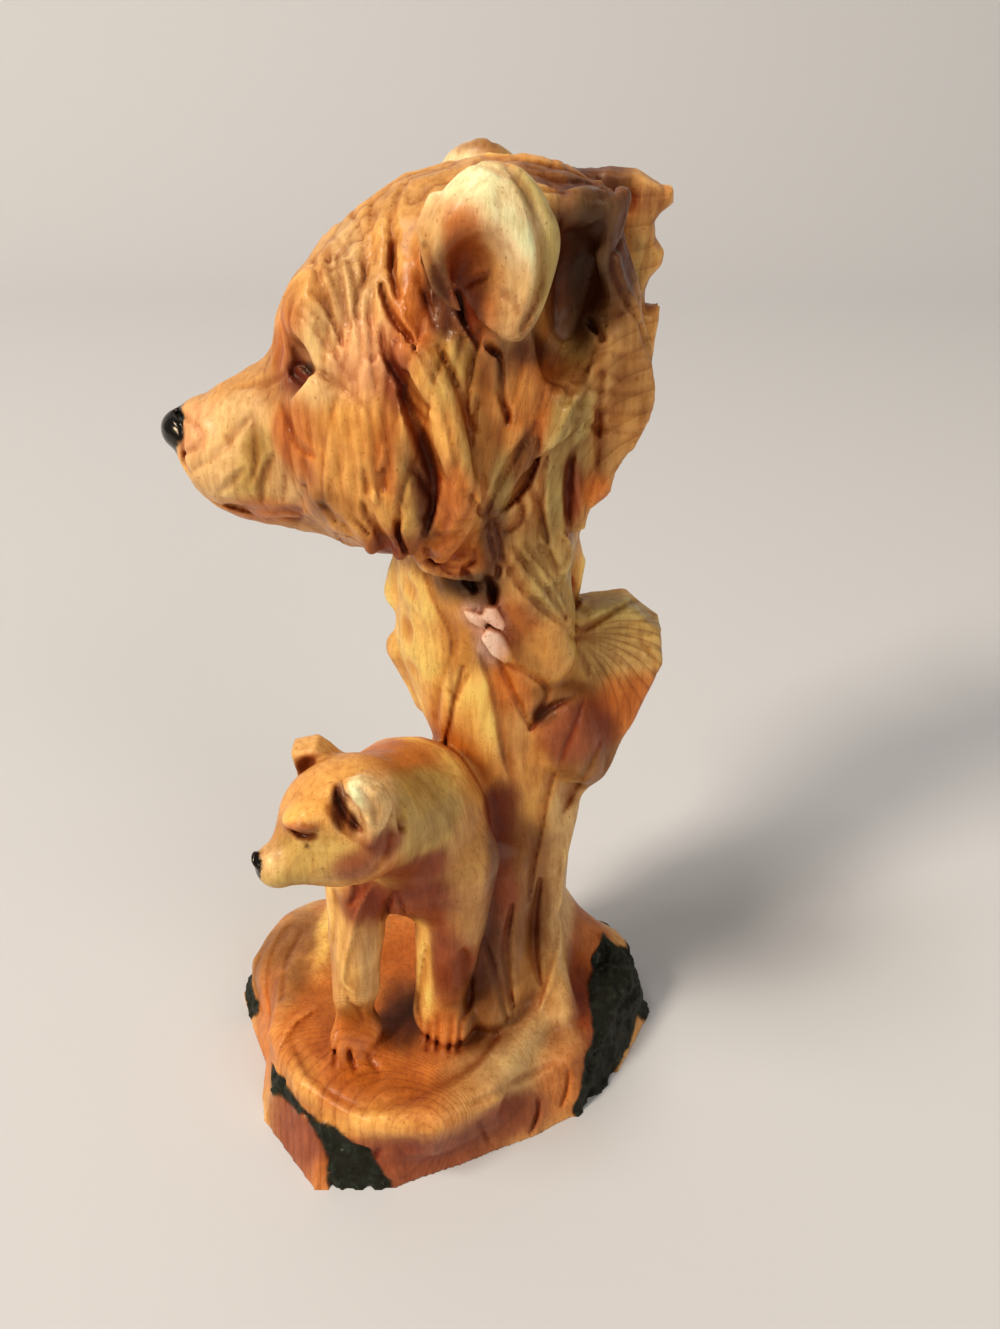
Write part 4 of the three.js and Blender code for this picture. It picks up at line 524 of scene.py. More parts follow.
def sample(F, X, lo):
    q = np.clip((X - lo) / COARSE, 0, np.array(F.shape) - 1.001); c = q.astype(int); t = (q - c).astype(np.float32); out = 0
    for a in (0, 1):
        for b in (0, 1):
            for d in (0, 1):
                out = out + (t[:, 0] if a else 1 - t[:, 0]) * (t[:, 1] if b else 1 - t[:, 1]) * (t[:, 2] if d else 1 - t[:, 2]) * F[c[:, 0] + a, c[:, 1] + b, c[:, 2] + d]
    return out
def surface():
    lo = np.array(LOW); n = np.ceil((np.array(HIGH) - lo) / COARSE).astype(int) + 1
    G = np.stack(np.meshgrid(*[lo[i] + COARSE * np.arange(n[i]) for i in range(3)], indexing="ij"), -1).reshape(-1, 3)
    F = coarse = field(G, 10).reshape(n)
    s = int(round(COARSE / STEP))
    for a in range(3):
        F = np.moveaxis(F, a, 0); out = np.empty(((F.shape[0] - 1) * s + 1,) + F.shape[1:], np.float32)
        for j in range(s):
            out[j::s][:F.shape[0] - 1] = F[:-1] * (1 - j / s) + F[1:] * (j / s)
        out[-1] = F[-1]; F = np.moveaxis(out, 0, a)
    F = np.ascontiguousarray(F)
    near = np.argwhere(np.abs(F) < 3.2); P = (near * STEP + lo).astype(np.float32)
    f = field(P, 3.2)
    m = np.abs(f) < 2.6
    N = np.stack([sample(g, P[m], lo) for g in np.gradient(coarse)], 1); N /= np.maximum(np.linalg.norm(N, axis=1), 1e-6)[:, None]
    f[m] += relief(P[m], N)
    f = np.maximum(f, -P[:, 2] - 0.013)   # the flat underside
    F[near[:, 0], near[:, 1], near[:, 2]] = f
    F[:, :, :int(round(-lo[2] / STEP))] = 1.0
    S = F < 0; cells = np.zeros(tuple(k - 1 for k in F.shape), np.uint8)
    for a in (0, 1):
        for b in (0, 1):
            for c in (0, 1):
                cells += S[a:F.shape[0] - 1 + a, b:F.shape[1] - 1 + b, c:F.shape[2] - 1 + c]
    act = (cells > 0) & (cells < 8); ci = np.argwhere(act); ids = np.full(act.shape, -1, np.int64); ids[act] = np.arange(len(ci))
    acc = np.zeros((len(ci), 3)); cnt = np.zeros(len(ci))
    corners = [(a, b, c) for a in (0, 1) for b in (0, 1) for c in (0, 1)]
    for a in range(8):
        for b in range(a + 1, 8):
            A, B = np.array(corners[a]), np.array(corners[b])
            if abs(A - B).sum() != 1:
                continue
            fa = F[tuple((ci + A).T)]; fb = F[tuple((ci + B).T)]; m = (fa < 0) != (fb < 0)
            t = np.where(m, fa / np.where(m, fa - fb, 1), 0)
            acc += np.where(m[:, None], A + t[:, None] * (B - A), 0); cnt += m
    V = (ci + acc / cnt[:, None]) * STEP + lo; V[:, 2] = np.maximum(V[:, 2], 0)
    quads = []
    for ax in range(3):
        u, v = (ax + 1) % 3, (ax + 2) % 3
        s0, s1 = [slice(None)] * 3, [slice(None)] * 3; s0[ax], s1[ax] = slice(0, -1), slice(1, None)
        e = np.argwhere(S[tuple(s0)] != S[tuple(s1)])
        e = e[(e[:, u] > 0) & (e[:, v] > 0) & (e[:, u] < F.shape[u] - 1) & (e[:, v] < F.shape[v] - 1)]
        inside = S[tuple(e.T)]
        def at(du, dv):
            c = e.copy(); c[:, u] += du; c[:, v] += dv; return ids[tuple(c.T)]
        q = np.stack([at(-1, -1), at(0, -1), at(0, 0), at(-1, 0)], 1); q[~inside] = q[~inside][:, ::-1]
        quads.append(q)
    return V, np.concatenate(quads), coarse, lo

V, Q, coarse, lo = surface()
# keep the one connected body
root = np.arange(len(V))
E = np.vstack([Q[:, [0, 1]], Q[:, [1, 2]], Q[:, [2, 3]], Q[:, [3, 0]]])
while True:
    m = np.minimum(root[E[:, 0]], root[E[:, 1]]); new = root.copy()
    np.minimum.at(new, E[:, 0], m); np.minimum.at(new, E[:, 1], m); new = new[new]
    if (new == root).all():
        break
    root = new
main = np.bincount(root).argmax(); keep = root == main
index = np.cumsum(keep) - 1; Q = index[Q[keep[Q[:, 0]]]]; V = V[keep]

mesh = bpy.data.meshes.new("fine")
mesh.from_pydata(((V - [CENTRE_X, CENTRE_Y, 0]) * 0.001).tolist(), [], Q.tolist()); mesh.update()
temp = bpy.data.objects.new("fine", mesh); bpy.context.scene.collection.objects.link(temp)
thin = temp.modifiers.new("thin", "DECIMATE"); thin.ratio = FACES / (2 * len(Q)); thin.use_collapse_triangulate = True
mesh = bpy.data.meshes.new_from_object(temp.evaluated_get(bpy.context.evaluated_depsgraph_get()))
bpy.data.objects.remove(temp)
mesh.name = "bear_and_cub"
statue = bpy.data.objects.new("bear_and_cub_statue", mesh); bpy.context.scene.collection.objects.link(statue)
mesh.polygons.foreach_set("use_smooth", np.ones(len(mesh.polygons), bool))
# ---- what the paint follows: how hollow or proud the surface is, at three sizes, and how closed in it is, which sets the painted shade
n = len(mesh.vertices)
co = np.empty(n * 3, np.float32); mesh.vertices.foreach_get("co", co); co = co.reshape(-1, 3)
nor = np.empty(n * 3, np.float32); mesh.vertex_normals.foreach_get("vector", nor); nor = nor.reshape(-1, 3)
P = co * 1000 + np.float32([CENTRE_X, CENTRE_Y, 0])
ed = np.empty(len(mesh.edges) * 2, np.int32); mesh.edges.foreach_get("vertices", ed); ed = ed.reshape(-1, 2)
deg = np.bincount(ed.ravel(), minlength=n).astype(np.float32)[:, None]
def around(A):
    out = np.zeros_like(A)
    for c in range(A.shape[1]):
        out[:, c] = np.bincount(ed[:, 0], A[ed[:, 1], c], n) + np.bincount(ed[:, 1], A[ed[:, 0], c], n)
    return out / deg
soft = {}; S = P.copy()
for k in range(1, 61):
    S = around(S)
    if k in (2, 12, 60):
        soft[k] = ((P - S) * nor).sum(1)      # positive on ridges, negative in hollows
# shade: how closed in each point is by the surface around it (an ambient occlusion), used below as painted shade
shade = np.zeros(n)
for reach, w in ((2.5, 0.25), (5, 0.3), (9, 0.25), (14, 0.2)):
    shade += w * np.clip(1 - sample(coarse, P + nor * reach, lo) / reach, 0, 1)
way = np.stack([sample(g, P, lo) for g in np.gradient(coarse)], 1); way /= np.linalg.norm(way, axis=1)[:, None]
cut = strokes(P, way)
ridge, dip = np.clip(soft[2] * 9, -1, 1), np.clip(soft[12] * 1.6, -1, 1)
form = np.clip(soft[60] * 0.42, -1, 1)

# ---- the palette, and where each colour goes on: mostly the statue's own paint, but some zones are painted shade and painted shadow where light does not reach
PALETTE = dict(pale=(250, 222, 172), cream=(214, 171, 113), gold=(248, 195, 103), honey=(217, 152, 74), tan=(198, 142, 78), blush=(218, 156, 106),
               orange=(190, 105, 37), rust=(130, 46, 11), brown=(134, 80, 31), umber=(90, 36, 8), dark=(56, 22, 7),
               olive=(184, 147, 76), sage=(180, 156, 92), chip=(232, 190, 172))
def linear(c):
    c = np.asarray(c, np.float32) / 255
    return np.where(c <= 0.04045, c / 12.92, ((c + 0.055) / 1.055) ** 2.4)
PALETTE = {k: linear(v) for k, v in PALETTE.items()}
ZONES = []
def zone(label, at, size, colour, strength):
    ZONES.append((np.float32(at), size, PALETTE[colour], strength))
zone("muzzle top", [-31.4, 3.7, 155.4], [7.6, 3.7], "tan", 1.0)
zone("muzzle near nose", [-36.8, -2.9, 148.1], [3.7, 4.4], "blush", 1.2)
zone("muzzle band", [-29.3, -4.9, 150.5], [4.3, 3.0], "cream", 1.3)
zone("lip bulge", [-32.4, -7.3, 142.7], [4.3, 4.0], "cream", 1.2)
zone("lip shade", [-27.3, -8.1, 141.6], [3.3, 3.3], "olive", 0.9)
zone("lip back", [-21.9, -10.1, 142.1], [3.0, 3.6], "cream", 1.0)
zone("lip olive", [-25.6, -7.9, 146.4], [2.3, 2.6], "olive", 0.8)
zone("mouth", [-27.3, -4.6, 133.9], [6.9, 1.7], "orange", 1.2)
zone("chin", [-24.0, -0.7, 129.5], [8.0, 1.6], "tan", 0.9)
zone("jaw shade", [-14.8, -15.5, 140.0], [3.2, 1.9], "brown", 0.5)
zone("cheek hollow", [-17.8, -14.8, 150.6], [3.4, 4.1], "orange", 1.3)
zone("under eye", [-13.9, -16.4, 159.8], [3.3, 2.4], "cream", 0.9)
# eye socket: rust painted shade in the socket
zone("eye socket", [-18.4, -9.6, 159.8], [1.7, 2.8], "rust", 2.0)
zone("nose bridge", [-19.2, -10.9, 165.8], [3.0, 3.0], "orange", 0.9)
zone("cheek", [-9.3, -19.3, 152.2], [5.2, 6.1], "honey", 1.5)
zone("cheek low", [-8.6, -18.8, 141.4], [4.7, 4.4], "honey", 1.2)
zone("jaw tufts", [-5.3, -16.9, 133.5], [4.3, 2.0], "rust", 1.0)
zone("cheek back", [-3.1, -20.1, 147.8], [2.2, 6.2], "orange", 1.0)
zone("brow lobe", [-14.4, -14.3, 167.5], [3.3, 3.3], "cream", 1.6)
zone("brow tip", [-16.5, -13.3, 169.0], [1.8, 1.8], "orange", 0.8)
zone("temple", [-7.6, -16.2, 165.0], [3.9, 5.0], "blush", 1.0)
zone("forehead", [-9.5, -9.6, 175.7], [5.0, 6.2], "cream", 1.2)
zone("forehead front", [-14.3, -10.9, 174.6], [2.4, 5.0], "honey", 0.8)
zone("forehead back", [-4.2, -9.6, 177.8], [3.2, 5.9], "honey", 1.0)
zone("crown left", [0.2, -5.2, 184.0], [5.0, 3.2], "tan", 1.2)
zone("crown top", [7.5, 0.2, 188.1], [6.0, 1.8], "tan", 1.0)
zone("before the ear", [-0.4, -15.3, 170.6], [2.9, 5.3], "orange", 1.2)
zone("ear cavity", [4.7, -14.9, 171.9], [1.8, 4.1], "umber", 1.8)
zone("ear cavity low", [4.7, -16.4, 168.7], [2.0, 2.3], "umber", 1.2)
zone("ear top", [10.3, -25.7, 188.1], [4.4, 2.8], "pale", 2.0)
zone("ear middle", [15.5, -26.8, 183.5], [3.4, 4.4], "pale", 2.0)
zone("ear low", [14.9, -24.0, 174.0], [3.6, 3.6], "cream", 1.8)
zone("ear front rim", [4.7, -24.0, 184.9], [1.3, 3.4], "cream", 1.6)
zone("ear edge", [19.9, -25.4, 179.5], [1.9, 8.0], "sage", 2.2)
zone("ear top edge", [17.2, -24.3, 187.3], [2.1, 3.4], "sage", 1.6)
zone("concha", [9.4, -22.4, 179.6], [2.3, 3.5], "orange", 3.0)
zone("concha heart", [8.5, -22.5, 179.4], [1.5, 2.7], "rust", 3.4)
zone("concha low", [9.8, -20.5, 173.1], [1.8, 3.1], "rust", 2.2)
zone("concha low glow", [12.0, -22.0, 173.1], [1.3, 2.8], "orange", 2.0)
zone("concha left low", [8.0, -16.7, 171.5], [1.2, 3.2], "rust", 3.0)
zone("concha glow", [12.7, -22.9, 177.5], [1.4, 3.8], "honey", 1.4)
# hollow, hollow low, hollow left: painted shade in the deep recess behind the ear
zone("hollow", [27.2, -5.4, 175.6], [3.3, 8.3], "dark", 3.2)
zone("hollow low", [18.0, -15.3, 165.5], [3.3, 2.4], "umber", 2.4)
zone("hollow left", [22.8, -6.4, 175.8], [1.5, 7.5], "umber", 1.2)
zone("roof", [23.2, -1.7, 187.4], [7.4, 2.1], "brown", 1.6)
zone("roof dark", [26.5, -3.1, 186.2], [6.5, 2.4], "umber", 1.6)
zone("roof right", [30.3, -5.6, 185.7], [3.2, 2.1], "umber", 1.2)
zone("ribbon", [31.9, -6.0, 177.2], [1.8, 9.0], "umber", 1.8)
zone("ribbon tip", [37.8, 13.6, 181.3], [2.6, 1.6], "rust", 1.4)
zone("far flap", [38.3, 14.1, 175.1], [2.0, 8.4], "tan", 1.6)
zone("mane left", [22.4, -12.2, 159.6], [4.3, 3.1], "orange", 2.6)
zone("mane low left", [16.5, -17.0, 156.2], [3.7, 3.0], "orange", 1.5)
zone("mane green", [24.6, -14.8, 156.2], [2.8, 7.7], "sage", 2.0)
zone("mane right", [33.2, -9.9, 157.1], [4.7, 9.4], "tan", 1.6)
zone("mane right low", [32.2, -9.5, 147.0], [3.3, 4.2], "tan", 1.0)
zone("mane glow", [29.6, -9.5, 140.4], [2.3, 2.3], "orange", 2.0)
zone("dark strip", [25.4, -10.0, 140.3], [1.3, 5.0], "rust", 2.0)
zone("strip light", [22.8, -10.5, 137.8], [1.3, 5.3], "sage", 2.0)
zone("fold tan", [17.6, -12.0, 137.6], [2.3, 3.3], "tan", 1.2)
zone("leaf", [17.3, -16.0, 147.5], [1.4, 5.3], "brown", 2.2)
zone("leaf edge", [13.8, -17.8, 146.8], [1.3, 4.7], "sage", 1.4)
zone("slope", [6.1, -19.0, 162.1], [2.7, 4.4], "olive", 1.8)
zone("slope low", [8.7, -21.3, 153.0], [1.8, 4.5], "olive", 1.2)
zone("behind the ear low", [13.5, -17.5, 159.4], [3.0, 5.1], "brown", 1.8)
zone("ear crack", [13.8, -17.6, 161.7], [0.9, 4.2], "dark", 1.4)
zone("lock A", [3.1, -21.0, 156.0], [2.7, 7.5], "honey", 1.6)
zone("lock A low", [5.7, -20.0, 142.8], [3.1, 5.6], "orange", 1.8)
# lock A flank: painted shade on the lock's shaded side
zone("lock A flank", [-1.9, -18.4, 162.7], [1.6, 3.8], "rust", 1.6)
zone("deep gouge", [1.8, -18.7, 145.5], [1.9, 6.9], "umber", 2.4)
zone("green leaf", [-1.4, -20.0, 142.7], [1.3, 4.7], "olive", 1.6)
zone("lock B", [13.5, -17.4, 153.2], [2.5, 4.6], "honey", 1.6)
zone("lock B glow", [9.0, -19.0, 155.3], [2.1, 4.5], "honey", 1.8)
zone("knot", [5.2, -15.0, 130.6], [4.0, 2.0], "orange", 1.6)
zone("bark rope", [12.7, -11.2, 130.8], [1.7, 4.7], "umber", 2.2)
zone("dark hole", [9.0, -7.0, 120.3], [4.3, 2.5], "dark", 2.6)
zone("neck strata", [21.3, -10.1, 125.5], [4.2, 5.9], "sage", 1.8)
zone("neck strata left", [15.6, -10.7, 124.9], [2.4, 5.2], "tan", 1.3)
zone("neck gold", [15.7, -7.9, 114.3], [3.6, 4.3], "orange", 2.0)
zone("neck gold low", [20.0, -5.9, 106.8], [3.7, 3.3], "honey", 1.6)
zone("chips", [11.9, -8.6, 113.0], [2.2, 4.0], "chip", 3.4)
zone("chip 2", [8.7, -9.0, 115.9], [2.1, 1.8], "chip", 2.4)
zone("chip bed", [9.6, -7.6, 118.2], [2.5, 1.6], "brown", 1.2)
zone("trunk left", [-3.0, -0.4, 112.2], [4.1, 8.3], "gold", 2.4)
zone("trunk left low", [-1.3, -0.1, 94.0], [3.9, 8.7], "gold", 2.4)
zone("trunk left edge", [-7.3, 10.0, 115.3], [1.6, 11.7], "gold", 1.4)
zone("trunk middle", [5.2, -6.0, 111.1], [2.6, 5.5], "honey", 1.6)
zone("panel", [6.6, -4.4, 88.6], [4.7, 8.2], "gold", 2.4)
zone("panel low", [9.5, -5.7, 77.3], [5.2, 3.2], "honey", 1.2)
zone("panel shadow", [15.9, -6.3, 71.3], [2.4, 3.3], "rust", 1.4)
zone("rose strip", [15.9, -4.9, 85.4], [2.4, 9.9], "tan", 1.6)
zone("triangle", [15.8, -4.3, 96.8], [3.1, 4.2], "orange", 2.0)
zone("stub left", [22.0, -5.2, 103.0], [3.8, 3.8], "honey", 1.4)
zone("stub upper", [35.9, 2.4, 102.9], [7.8, 5.1], "olive", 2.0)
zone("stub face light", [36.9, 2.4, 101.7], [6.2, 4.3], "cream", 1.0)
zone("stub top", [33.7, 3.7, 110.4], [5.8, 1.9], "sage", 1.6)
# valley, valley dark: painted shadow in the crease under the broken stub
zone("valley", [25.2, -2.8, 94.9], [5.4, 1.6], "brown", 2.0)
zone("valley dark", [22.3, -4.1, 91.5], [2.0, 1.6], "umber", 2.4)
zone("stub lower", [30.3, -3.7, 86.9], [5.9, 5.1], "rust", 1.8)
zone("stub lower right", [40.7, 2.4, 90.0], [4.8, 4.8], "orange", 1.8)
zone("stub low edge", [34.1, -1.4, 75.2], [4.5, 4.1], "brown", 1.4)
zone("trunk low gold", [20.6, -4.8, 72.7], [3.7, 6.1], "honey", 1.6)
zone("trunk low shade", [17.7, -8.0, 59.4], [3.3, 6.2], "brown", 1.6)
zone("trunk low right", [28.4, -1.4, 61.8], [3.8, 6.4], "cream", 1.3)
zone("root ridge", [27.8, 0.6, 36.6], [2.7, 13.6], "cream", 2.0)
zone("root right", [34.9, 5.0, 22.4], [3.3, 9.5], "orange", 1.4)
# root middle: painted shade behind the cub
zone("root middle", [20.0, -10.0, 38.1], [3.5, 10.9], "brown", 1.8)
zone("cub shadow", [13.5, -9.0, 60.3], [2.9, 14.5], "rust", 2.4)
zone("cub shadow heart", [13.1, -20.4, 66.7], [1.8, 9.7], "umber", 1.6)
zone("cub shadow low", [11.4, -15.5, 43.8], [2.1, 10.5], "umber", 2.4)
zone("root shadow", [14.6, -19.2, 26.5], [2.6, 6.5], "brown", 1.4)
zone("root low", [21.3, -12.9, 24.0], [5.3, 8.9], "tan", 1.4)
zone("cub back", [-4.5, -21.7, 94.3], [9.0, 2.2], "orange", 1.4)
zone("cub back mid", [-0.4, -29.4, 92.5], [5.2, 3.5], "olive", 1.8)
zone("cub shoulder", [2.0, -30.5, 85.4], [4.2, 4.6], "olive", 2.2)
zone("cub shoulder low", [-0.2, -30.3, 75.1], [5.5, 2.6], "rust", 1.2)
zone("cub side", [7.8, -24.4, 71.6], [2.6, 7.6], "tan", 1.2)
zone("cub forehead", [-19.1, -38.9, 99.1], [3.3, 3.3], "honey", 1.6)
zone("cub brow", [-17.7, -42.9, 98.8], [2.2, 1.3], "honey", 1.4)
zone("cub crown", [-13.2, -33.1, 101.4], [5.7, 2.0], "honey", 1.4)
zone("cub cheek", [-16.5, -45.1, 91.7], [4.2, 3.6], "olive", 2.2)
zone("cub muzzle", [-23.7, -45.0, 89.4], [2.9, 2.6], "cream", 1.4)
zone("cub muzzle low", [-22.8, -46.0, 87.0], [3.3, 1.5], "olive", 1.6)
zone("cub eye", [-18.3, -44.1, 94.8], [1.6, 0.8], "rust", 1.6)
zone("cub ear", [-6.2, -44.0, 102.2], [2.2, 4.1], "cream", 2.4)
zone("cub ear lobe", [-8.6, -43.8, 102.7], [1.4, 2.4], "pale", 2.6)
zone("cub ear bowl", [-12.5, -40.5, 98.7], [0.8, 2.4], "umber", 4.0)
zone("cub ear slit", [-10.2, -42.2, 96.2], [0.6, 1.1], "umber", 4.0)
# cub ear under: painted shadow under the cub's ear
zone("cub ear under", [-5.3, -42.5, 92.6], [2.0, 2.6], "rust", 1.6)
zone("cub far ear", [-17.9, -29.7, 101.4], [3.7, 2.4], "tan", 1.6)
zone("cub neck", [-10.9, -45.3, 89.7], [2.6, 2.3], "rust", 1.4)
# belly, chest shadow: painted shade under the cub's body
zone("belly", [-3.6, -27.8, 63.3], [9.5, 3.0], "rust", 2.6)
zone("chest shadow", [2.1, -27.3, 64.2], [4.6, 3.8], "rust", 2.4)
zone("leg R", [-17.3, -27.0, 47.5], [3.2, 9.9], "tan", 1.2)
zone("leg R gold", [-17.8, -26.7, 50.0], [2.0, 9.9], "gold", 1.0)
zone("leg R left", [-28.4, 6.4, 21.0], [1.7, 12.0], "gold", 1.6)
zone("leg R top", [-12.9, -26.5, 63.3], [2.3, 3.4], "rust", 1.0)
zone("leg R light", [-13.6, -26.9, 44.4], [2.0, 6.0], "cream", 1.4)
zone("paw R", [-16.3, -26.6, 21.1], [5.5, 4.7], "orange", 2.4)
zone("paw R tip", [-18.3, -25.2, 24.2], [3.0, 2.1], "orange", 1.0)
zone("leg L edge", [-2.3, -23.1, 40.2], [1.2, 10.3], "gold", 2.2)
zone("leg L", [4.4, -25.1, 45.4], [3.2, 10.1], "rust", 1.6)
zone("leg L right", [7.7, -25.3, 58.1], [3.1, 7.8], "tan", 1.4)
zone("paw L", [0.8, -25.8, 23.4], [4.2, 3.4], "orange", 2.0)
zone("hind foot", [10.3, -22.4, 23.9], [4.3, 5.6], "brown", 2.0)
zone("haunch shade", [10.9, -17.9, 32.9], [3.0, 5.6], "umber", 1.6)
zone("through legs", [-10.5, 0.4, 19.0], [3.8, 5.7], "orange", 2.4)
# through legs low: painted shade under the cub, between its legs
zone("through legs low", [-9.2, -15.6, 19.0], [3.6, 5.8], "umber", 2.2)
zone("lobe", [-36.1, 1.7, 19.2], [8.5, 9.5], "brown", 1.6)
zone("lobe low", [-39.8, -9.0, 11.1], [3.7, 9.3], "orange", 1.4)
zone("lobe inner", [-28.8, -12.8, 19.0], [3.1, 9.0], "orange", 1.2)
zone("platform", [-22.8, -26.5, 19.4], [8.5, 5.1], "orange", 1.8)
zone("platform front", [-7.2, -35.5, 18.4], [12.4, 4.5], "orange", 2.0)
zone("rim left", [-28.1, -34.6, 17.1], [3.3, 5.0], "honey", 2.4)
zone("rim front", [-13.7, -42.4, 17.6], [10.1, 2.4], "honey", 2.4)
zone("rim right", [7.3, -36.0, 19.0], [7.0, 3.3], "tan", 2.0)
zone("right flat", [21.1, -22.5, 17.5], [5.7, 7.4], "cream", 2.0)
zone("right flat low", [13.5, -32.2, 18.7], [6.3, 2.9], "cream", 1.4)
zone("right wall", [32.0, -7.3, 15.8], [3.2, 13.9], "rust", 1.6)
zone("right wall low", [26.6, -26.9, 9.9], [4.4, 5.7], "orange", 1.6)
zone("front wall", [-3.1, -42.4, 4.8], [10.4, 5.0], "rust", 3.4)
zone("front wall right", [15.6, -33.6, 7.2], [7.3, 3.9], "rust", 1.6)
zone("front wall left", [-7.3, -44.2, 2.5], [5.0, 2.9], "rust", 2.4)
zone("slab", [-28.6, -38.5, 5.9], [5.5, 7.2], "rust", 3.6)
zone("slab low", [-24.8, -44.6, 3.0], [3.7, 3.7], "orange", 1.6)
zone("crack shade", [4.1, -3.5, 91.1], [0.6, 7.8], "umber", 0.8)
zone("eye dark", [-16.8, -11.0, 161.3], [0.8, 0.6], "dark", 9.0)
# eye ball: rust painted shade over the eye, where the lid shades it
zone("eye ball", [-17.9, -10.0, 159.4], [1.3, 1.1], "rust", 7.0)
zone("cub eye dark", [-18.3, -44.0, 94.5], [0.9, 0.3], "dark", 6.0)
zone("cub eye rust", [-18.8, -44.5, 96.7], [2.1, 0.8], "rust", 2.6)
zone("cub spot dark", [-17.8, -44.4, 92.8], [0.3, 0.3], "dark", 4.0)
zone("far flap inner", [37.3, 14.1, 170.2], [2.0, 5.8], "sage", 1.4)
zone("far ear", [10.1, 26.6, 187.7], [6.9, 2.1], "brown", 4.0)
zone("far ear edge", [5.1, 29.9, 187.0], [2.4, 2.1], "rust", 1.6)
zone("ear inner rim", [3.9, -25.0, 181.9], [0.8, 2.1], "tan", 1.4)
zone("mane slope", [16.5, -17.1, 157.8], [2.7, 2.4], "honey", 1.2)
zone("concha groove", [7.9, -16.6, 172.0], [0.6, 2.6], "umber", 5.0)
zone("neck light", [21.8, -10.1, 127.4], [3.4, 5.9], "tan", 1.0)

jitter = np.stack([noise(P, 9, 61), noise(P, 9, 62), noise(P, 9, 63)], 1) * 1.6 + np.stack([noise(P, 3, 64), noise(P, 3, 65), noise(P, 3, 66)], 1) * 0.5
W = np.full(n, 0.02, np.float32); near = np.clip(0.5 + 0.9 * noise(P * np.float32([1, 1, 0.4]), 12, 67), 0, 1)[:, None]; warm = np.clip(0.35 + 0.9 * noise(P, 15, 68), 0, 1)[:, None]
paint = W[:, None] * (near * (PALETTE["honey"] * (1 - warm) + PALETTE["gold"] * warm) + (1 - near) * (PALETTE["tan"] * (1 - warm) + PALETTE["orange"] * warm))
X = P + jitter
sides = [[np.stack(leaned(Y), 1), np.stack(leaned(mirrored(Y)), 1)] for Y in (P, X)]
back = ease(HY + 2, HY + 12, P[:, 1])
for at, size, colour, strength in ZONES:
    a = np.concatenate(leaned(at[None]))
    loose = sides[0 if min(size) < 1.9 else 1]   # small touches stay where they were put
    for Y, side in ((loose[0], 1 - 0.9 * back), (loose[1], (0.8 if at[2] > 124 else 0.1) * back)):
        d = ((Y[:, 0] - a[0]) / size[0]) ** 2 + ((Y[:, 2] - a[2]) / size[1]) ** 2 + ((Y[:, 1] - a[1]) / 11) ** 2
        w = strength * np.exp(-1.5 * d) * side
        W += w; paint += w[:, None] * colour
paint = paint / W[:, None]

# the fine lines of the fur, made darker
fur = ease(118, 126, P[:, 2]) * (1 - ease(-22, -30, P[:, 0])) * np.minimum(1, patch(P, [([12, -23, 179], [14, 9, 16]), ([12, 31, 179], [14, 9, 16])]) ** 4)
Q = P @ np.float32([[1, 0, 0.25], [0, 1, 0], [-0.25, 0, 1]]) * np.float32([1, 1, 0.16])
line = np.clip(1 - np.abs(noise(Q, 3.4, 6)) * 6, 0, 1) * 0.7 + np.clip(1 - np.abs(noise(Q, 1.9, 8)) * 5, 0, 1) * 0.4
paint = paint * (1 - np.clip(fur * line, 0, 1)[:, None] * np.float32([0.30, 0.44, 0.54]))

# painted shade: hollows and closed-in places made darker and redder (from the occlusion shade, the carved cuts and the
# curvature); ridges and rounded masses made paler
lift = np.clip(0.26 * form + 0.24 * dip + 0.16 * ridge, -1, 1)
# deep is painted shade from the occlusion and the carved cuts; low, below, is painted shade in hollows by curvature
deep = np.clip(1.25 * shade + 0.27 * np.clip(cut, 0, 1.6) - 0.30, 0, 1)
paint = paint * (1 - deep[:, None] * np.float32([0.50, 0.78, 0.92]))
low = np.clip(-lift, 0, 1)[:, None]; paint = paint * (1 - low * np.float32([0.50, 0.78, 0.92]))
paint = np.maximum(paint, np.float32([0.044, 0.010, 0.003]))
high = np.clip(lift, 0, 1)[:, None]; paint = paint * (1 + high * np.float32([0.32, 0.46, 0.52])) + high * 0.13 * PALETTE["pale"]

# growth rings: a phase that runs on over the wood, in mm, and how plainly it shows
def away(c, s=(1, 1, 1)):
    return np.sqrt((((P - np.float32(c)) * np.float32(s)) ** 2).sum(1))
PHASES = [((30, 0, 205), (0.7, 0.2, 1), (36, 0, 152), 20, 1.0), ((-2, -4, 190), (1, 0.2, 0.35), (0, 0, 150), 26, 0.2), ((22, -5, 102), (0.9, 0.3, 1), (38, 0, 96), 12, 0.2),
          ((40, 0, 135), (0.8, 0.3, 0.9), (20, 0, 119), 9, 0.5), ((-4, -14, 72), (0.8, 0.4, 1), (0, -14, 72), 16, 0.12), ((-14, -38, 86), (1, 0.6, 1.2), (-14, -38, 92), 9, 0.25),
          ((-200, -30, 14), (1, 0.25, 0.1), (-5, -36, 16), 16, 0.7), ((-6, -22, 20), (1, 1.1, 0.4), (20, -10, 12), 22, 0.16), ((-90, 0, 60), (1, 0.5, 0.1), (14, 2, 60), 22, 0.10), ((60, 0, 180), (1, 0.2, 0.9), (25, 0, 120), 14, 0.3),
          ((11, -22, 178), (1, 0.5, 0.8), (12, -22, 180), 9, 0.3)]
wsum = np.full(n, 1e-4); phase = np.zeros(n); show = np.zeros(n)
for c, s, at, r, plain_ in PHASES:
    w = np.exp(-away(at) ** 2 / (r * r)); wsum += w; phase += w * away(c, s); show += w * plain_
phase = phase / wsum + noise(P, 14, 71) * 1.5
show = show / wsum
